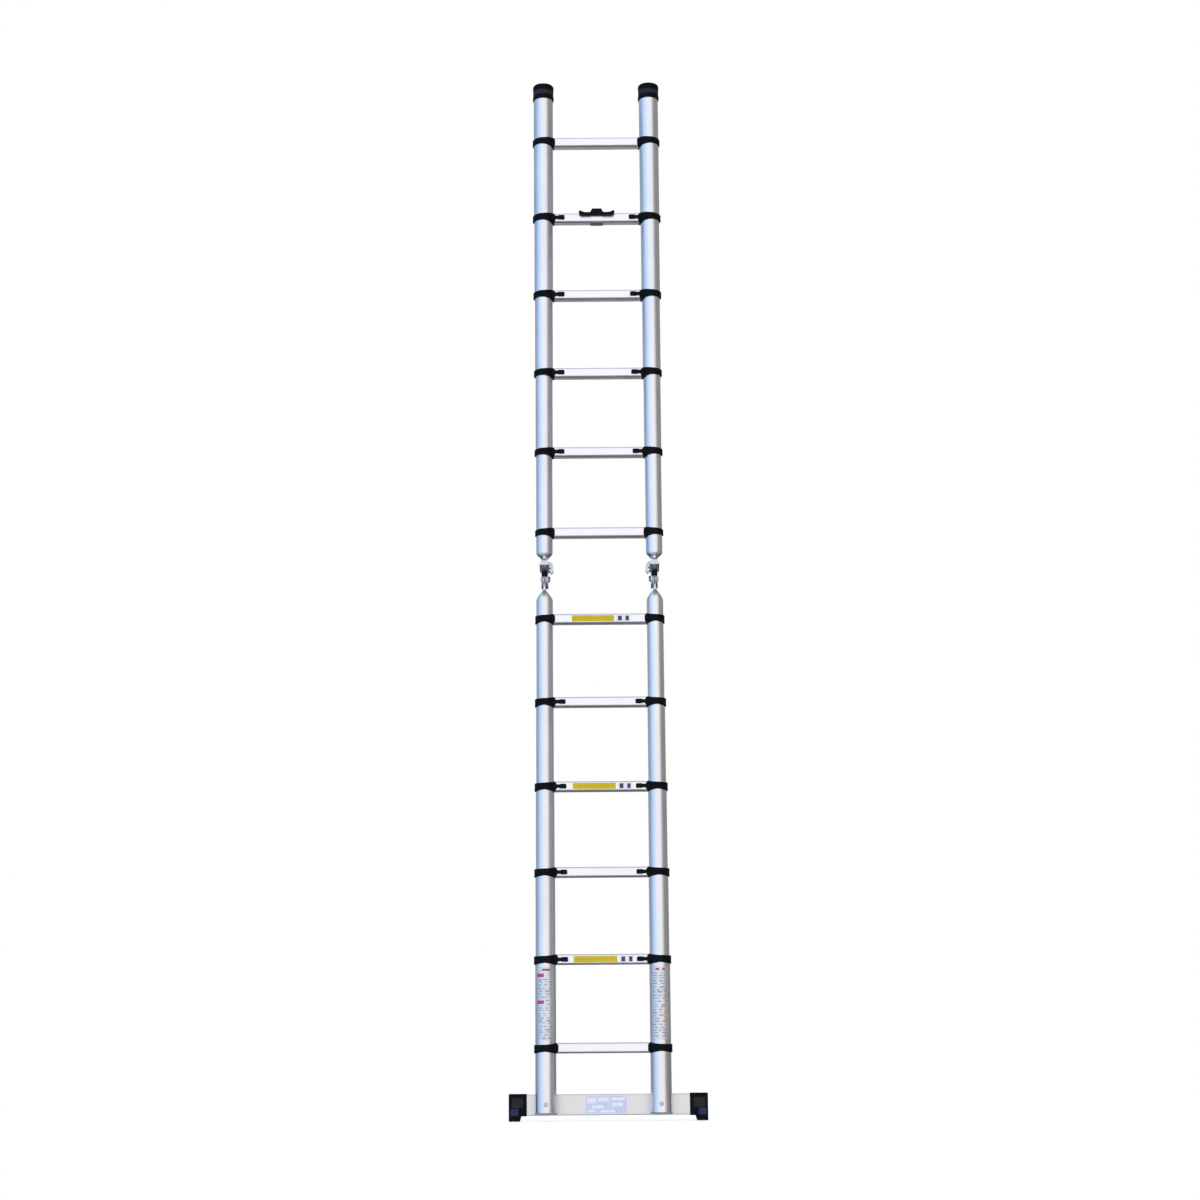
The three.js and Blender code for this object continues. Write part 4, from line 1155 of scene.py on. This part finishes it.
def stile_label(side):
    """A silvery sticker down the front of a stile: a thin heading, sparse grey bars and coloured marks."""
    node = f"lower_tube_1_{side}"
    low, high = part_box(node)
    radius = (high.x - low.x) / 2
    x = stile_x(side)
    bottom, top = rung_z(1) + 0.026, rung_z(2) - 0.026

    def place(u, v, lift):
        angle = u / radius
        return (x + (radius + lift) * math.sin(angle), -(radius + lift) * math.cos(angle), v)
    half = 0.034
    rng = random.Random(7 if side == "left" else 8)
    bm = bmesh.new()
    slab(bm, place, (-half, half), (bottom, top), (24, 2), *FILM, 0)
    heading = [(-0.012, 0.018)] if side == "left" else [(-0.016, -0.003), (0.008, 0.018)]
    for span in heading:
        slab(bm, place, span, (top - 0.013, top - 0.006), (6, 1), *INK, 2)
    marks = {
        "left": [(-0.032, 0.027, 0.022, 2), (-0.032, 0.027, 0.113, 2)],
        "right": [(0.015, 0.009, 0.135, 3), (0.014, 0.010, 0.166, 3)],
    }
    for u, width, drop, ink in marks[side]:
        slab(bm, place, (u, u + width), (top - drop - 0.012, top - drop), (6, 1), *INK, ink)
    z = top - 0.022
    while z > bottom + 0.006:
        u = -half + rng.uniform(0.004, 0.014)
        while u < half - 0.010:
            width = min(rng.uniform(0.006, 0.018), half - 0.004 - u)
            clear = all(abs(z - 0.0016 - (top - drop - 0.006)) > 0.009 or u + width < mark - 0.001
                        or u > mark + long + 0.001 for mark, long, drop, _ in marks[side])
            if clear:
                slab(bm, place, (u, u + width), (z - rng.uniform(0.0022, 0.0048), z), (4, 1), *INK, 1)
            u += width + rng.uniform(0.003, 0.016)
        z -= rng.uniform(0.0065, 0.0125)
    piece(f"label_stile_{side}", bm, ["label_white", "ink_grey", "ink_red", "ink_orange"],
          body_of[node])


def bar_label():
    """A lavender label in the middle of the bar's front, with pale generic shapes on it."""
    low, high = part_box("stabiliser_bar")
    middle_x, middle_z = (low.x + high.x) / 2 - 0.007, (low.z + high.z) / 2

    def place(u, v, lift):
        return (middle_x + u, low.y - lift, middle_z + v)
    bm = bmesh.new()
    slab(bm, place, (-0.070, 0.070), (-0.0285, 0.0285), (1, 1), *FILM, 0)
    for left, right, bottom, top in ((-0.066, -0.034, 0.004, 0.024), (-0.028, 0.010, 0.010, 0.024),
                                     (0.018, 0.064, 0.014, 0.024), (-0.050, -0.008, -0.012, -0.002),
                                     (0.020, 0.056, -0.006, 0.006), (-0.064, -0.040, -0.025, -0.018),
                                     (-0.020, 0.030, -0.025, -0.018)):
        slab(bm, place, (left, right), (bottom, top), (1, 1), *INK, 1)
    piece("label_bar", bm, ["label_lavender", "ink_white"], body_of["stabiliser_bar"])


for number in (2, 4, 6):
    rung_label(number)
for side in SIDES:
    stile_label(side)
bar_label()


# ---- stage, light and camera


def stage():
    """A round pale floor, bright enough to meet the white backdrop."""
    bm = bmesh.new()
    revolve(bm, [(0, 0), (3.2, 0)], 0, segments=96, closed=False)
    mesh = mesh_of(bm, "floor")
    made = bpy.data.materials.new("pale_floor")
    made.use_nodes = True
    principled = made.node_tree.nodes["Principled BSDF"]
    principled.inputs["Base Color"].default_value = (0.86, 0.86, 0.87, 1)
    principled.inputs["Roughness"].default_value = 0.9
    principled.inputs["Specular IOR Level"].default_value = 0.0
    principled.inputs["Emission Color"].default_value = (1, 1, 1, 1)
    principled.inputs["Emission Strength"].default_value = 0.6
    mesh.materials.append(made)
    floor = bpy.data.objects.new("floor", mesh)
    bpy.context.scene.collection.objects.link(floor)
    floor.visible_glossy = False
    floor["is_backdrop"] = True


# The light's colour by azimuth, in degrees from straight ahead of the climbing side towards +X, and its
# level by height (the Z of a direction) in front of the ladder and behind it
AZIMUTH_STOPS = (
    (-180, (0.85, 0.87, 0.92)), (-160, (0.36, 0.42, 0.52)), (-104, (0.34, 0.43, 0.58)),
    (-84, (0.46, 0.62, 0.92)), (-62, (0.62, 0.86, 1.20)), (-40, (0.74, 0.98, 1.28)),
    (-20, (1.04, 1.07, 1.18)), (34, (1.10, 1.08, 1.10)), (52, (0.44, 0.44, 0.44)),
    (66, (0.29, 0.295, 0.29)), (145, (0.30, 0.305, 0.30)), (180, (0.85, 0.87, 0.92)),
)
FRONT_STOPS = (
    (-1.0, (0.18, 0.18, 0.18)), (-0.68, (0.18, 0.18, 0.18)), (-0.50, (1.02, 0.98, 0.93)),
    (0.0, (1.04, 1.0, 0.95)), (0.25, (1.0, 1.0, 1.0)), (0.60, (1.0, 1.0, 1.0)),
    (0.90, (0.72, 0.72, 0.72)), (1.0, (0.70, 0.70, 0.70)),
)
REAR_STOPS = tuple((z, (level, level, level)) for z, level in (
    (-1.0, 0.10), (-0.10, 0.10), (-0.01, 1.0), (0.60, 1.0), (0.90, 0.72), (1.0, 0.70)))


def studio_light():
    """Soft light from all round: white in front, bluish from the left, dim on the right.

    It falls off steeply under the horizon, much lower down in front of the ladder than behind it. The
    backdrop itself is white.
    """
    world = bpy.data.worlds.new("studio")
    bpy.context.scene.world = world
    world.use_nodes = True
    tree = world.node_tree
    tree.nodes.clear()
    link = tree.links.new
    place = node_of(tree, "ShaderNodeTexCoord")
    split = node_of(tree, "ShaderNodeSeparateXYZ")
    link(place.outputs["Generated"], split.inputs["Vector"])
    away = node_of(tree, "ShaderNodeMath", {1: -1}, operation="MULTIPLY")
    link(split.outputs["Y"], away.inputs[0])
    azimuth = node_of(tree, "ShaderNodeMath", operation="ARCTAN2")
    link(split.outputs["X"], azimuth.inputs[0])
    link(away.outputs["Value"], azimuth.inputs[1])
    turn = spread(tree, azimuth.outputs["Value"], -math.pi, math.pi)
    round_about = ramp(tree, turn, [((degrees + 180) / 360, colour) for degrees, colour in AZIMUTH_STOPS])
    height = spread(tree, split.outputs["Z"], -1, 1)
    front, rear = [ramp(tree, height, [((z + 1) / 2, colour) for z, colour in stops])
                   for stops in (FRONT_STOPS, REAR_STOPS)]
    level = node_of(tree, "ShaderNodeMix", data_type="RGBA")
    link(spread(tree, split.outputs["Y"], -0.15, 0.25), level.inputs["Factor"])
    link(front, level.inputs["A"])
    link(rear, level.inputs["B"])
    dimmed = node_of(tree, "ShaderNodeMix", {"Factor": 1}, data_type="RGBA", blend_type="MULTIPLY")
    link(round_about, dimmed.inputs["A"])
    link(level.outputs["Result"], dimmed.inputs["B"])
    lit = node_of(tree, "ShaderNodeBackground")
    link(dimmed.outputs["Result"], lit.inputs["Color"])
    plain = node_of(tree, "ShaderNodeBackground", {"Color": (1, 1, 1, 1), "Strength": 1.0})
    ray = node_of(tree, "ShaderNodeLightPath")
    choose = node_of(tree, "ShaderNodeMixShader")
    link(ray.outputs["Is Camera Ray"], choose.inputs["Fac"])
    link(lit.outputs["Background"], choose.inputs[1])
    link(plain.outputs["Background"], choose.inputs[2])
    output = node_of(tree, "ShaderNodeOutputWorld")
    link(choose.outputs["Shader"], output.inputs["Surface"])


EYE = (0.001, -7.605, 0.221)
LENS = 65.1
LOOK_UP = 11.85
ROLL = -0.457


def camera():
    """A low, distant camera that looks slightly up."""
    data = bpy.data.cameras.new("camera")
    data.sensor_width = 36
    data.lens = LENS
    made = bpy.data.objects.new("camera", data)
    bpy.context.scene.collection.objects.link(made)
    pitch = Matrix.Rotation(math.radians(90 + LOOK_UP), 4, "X")
    roll = Matrix.Rotation(math.radians(ROLL), 4, "Z")
    made.matrix_world = Matrix.Translation(EYE) @ pitch @ roll
    bpy.context.scene.camera = made


stage()
studio_light()
camera()
bpy.context.scene.view_settings.view_transform = "Standard"

low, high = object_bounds()
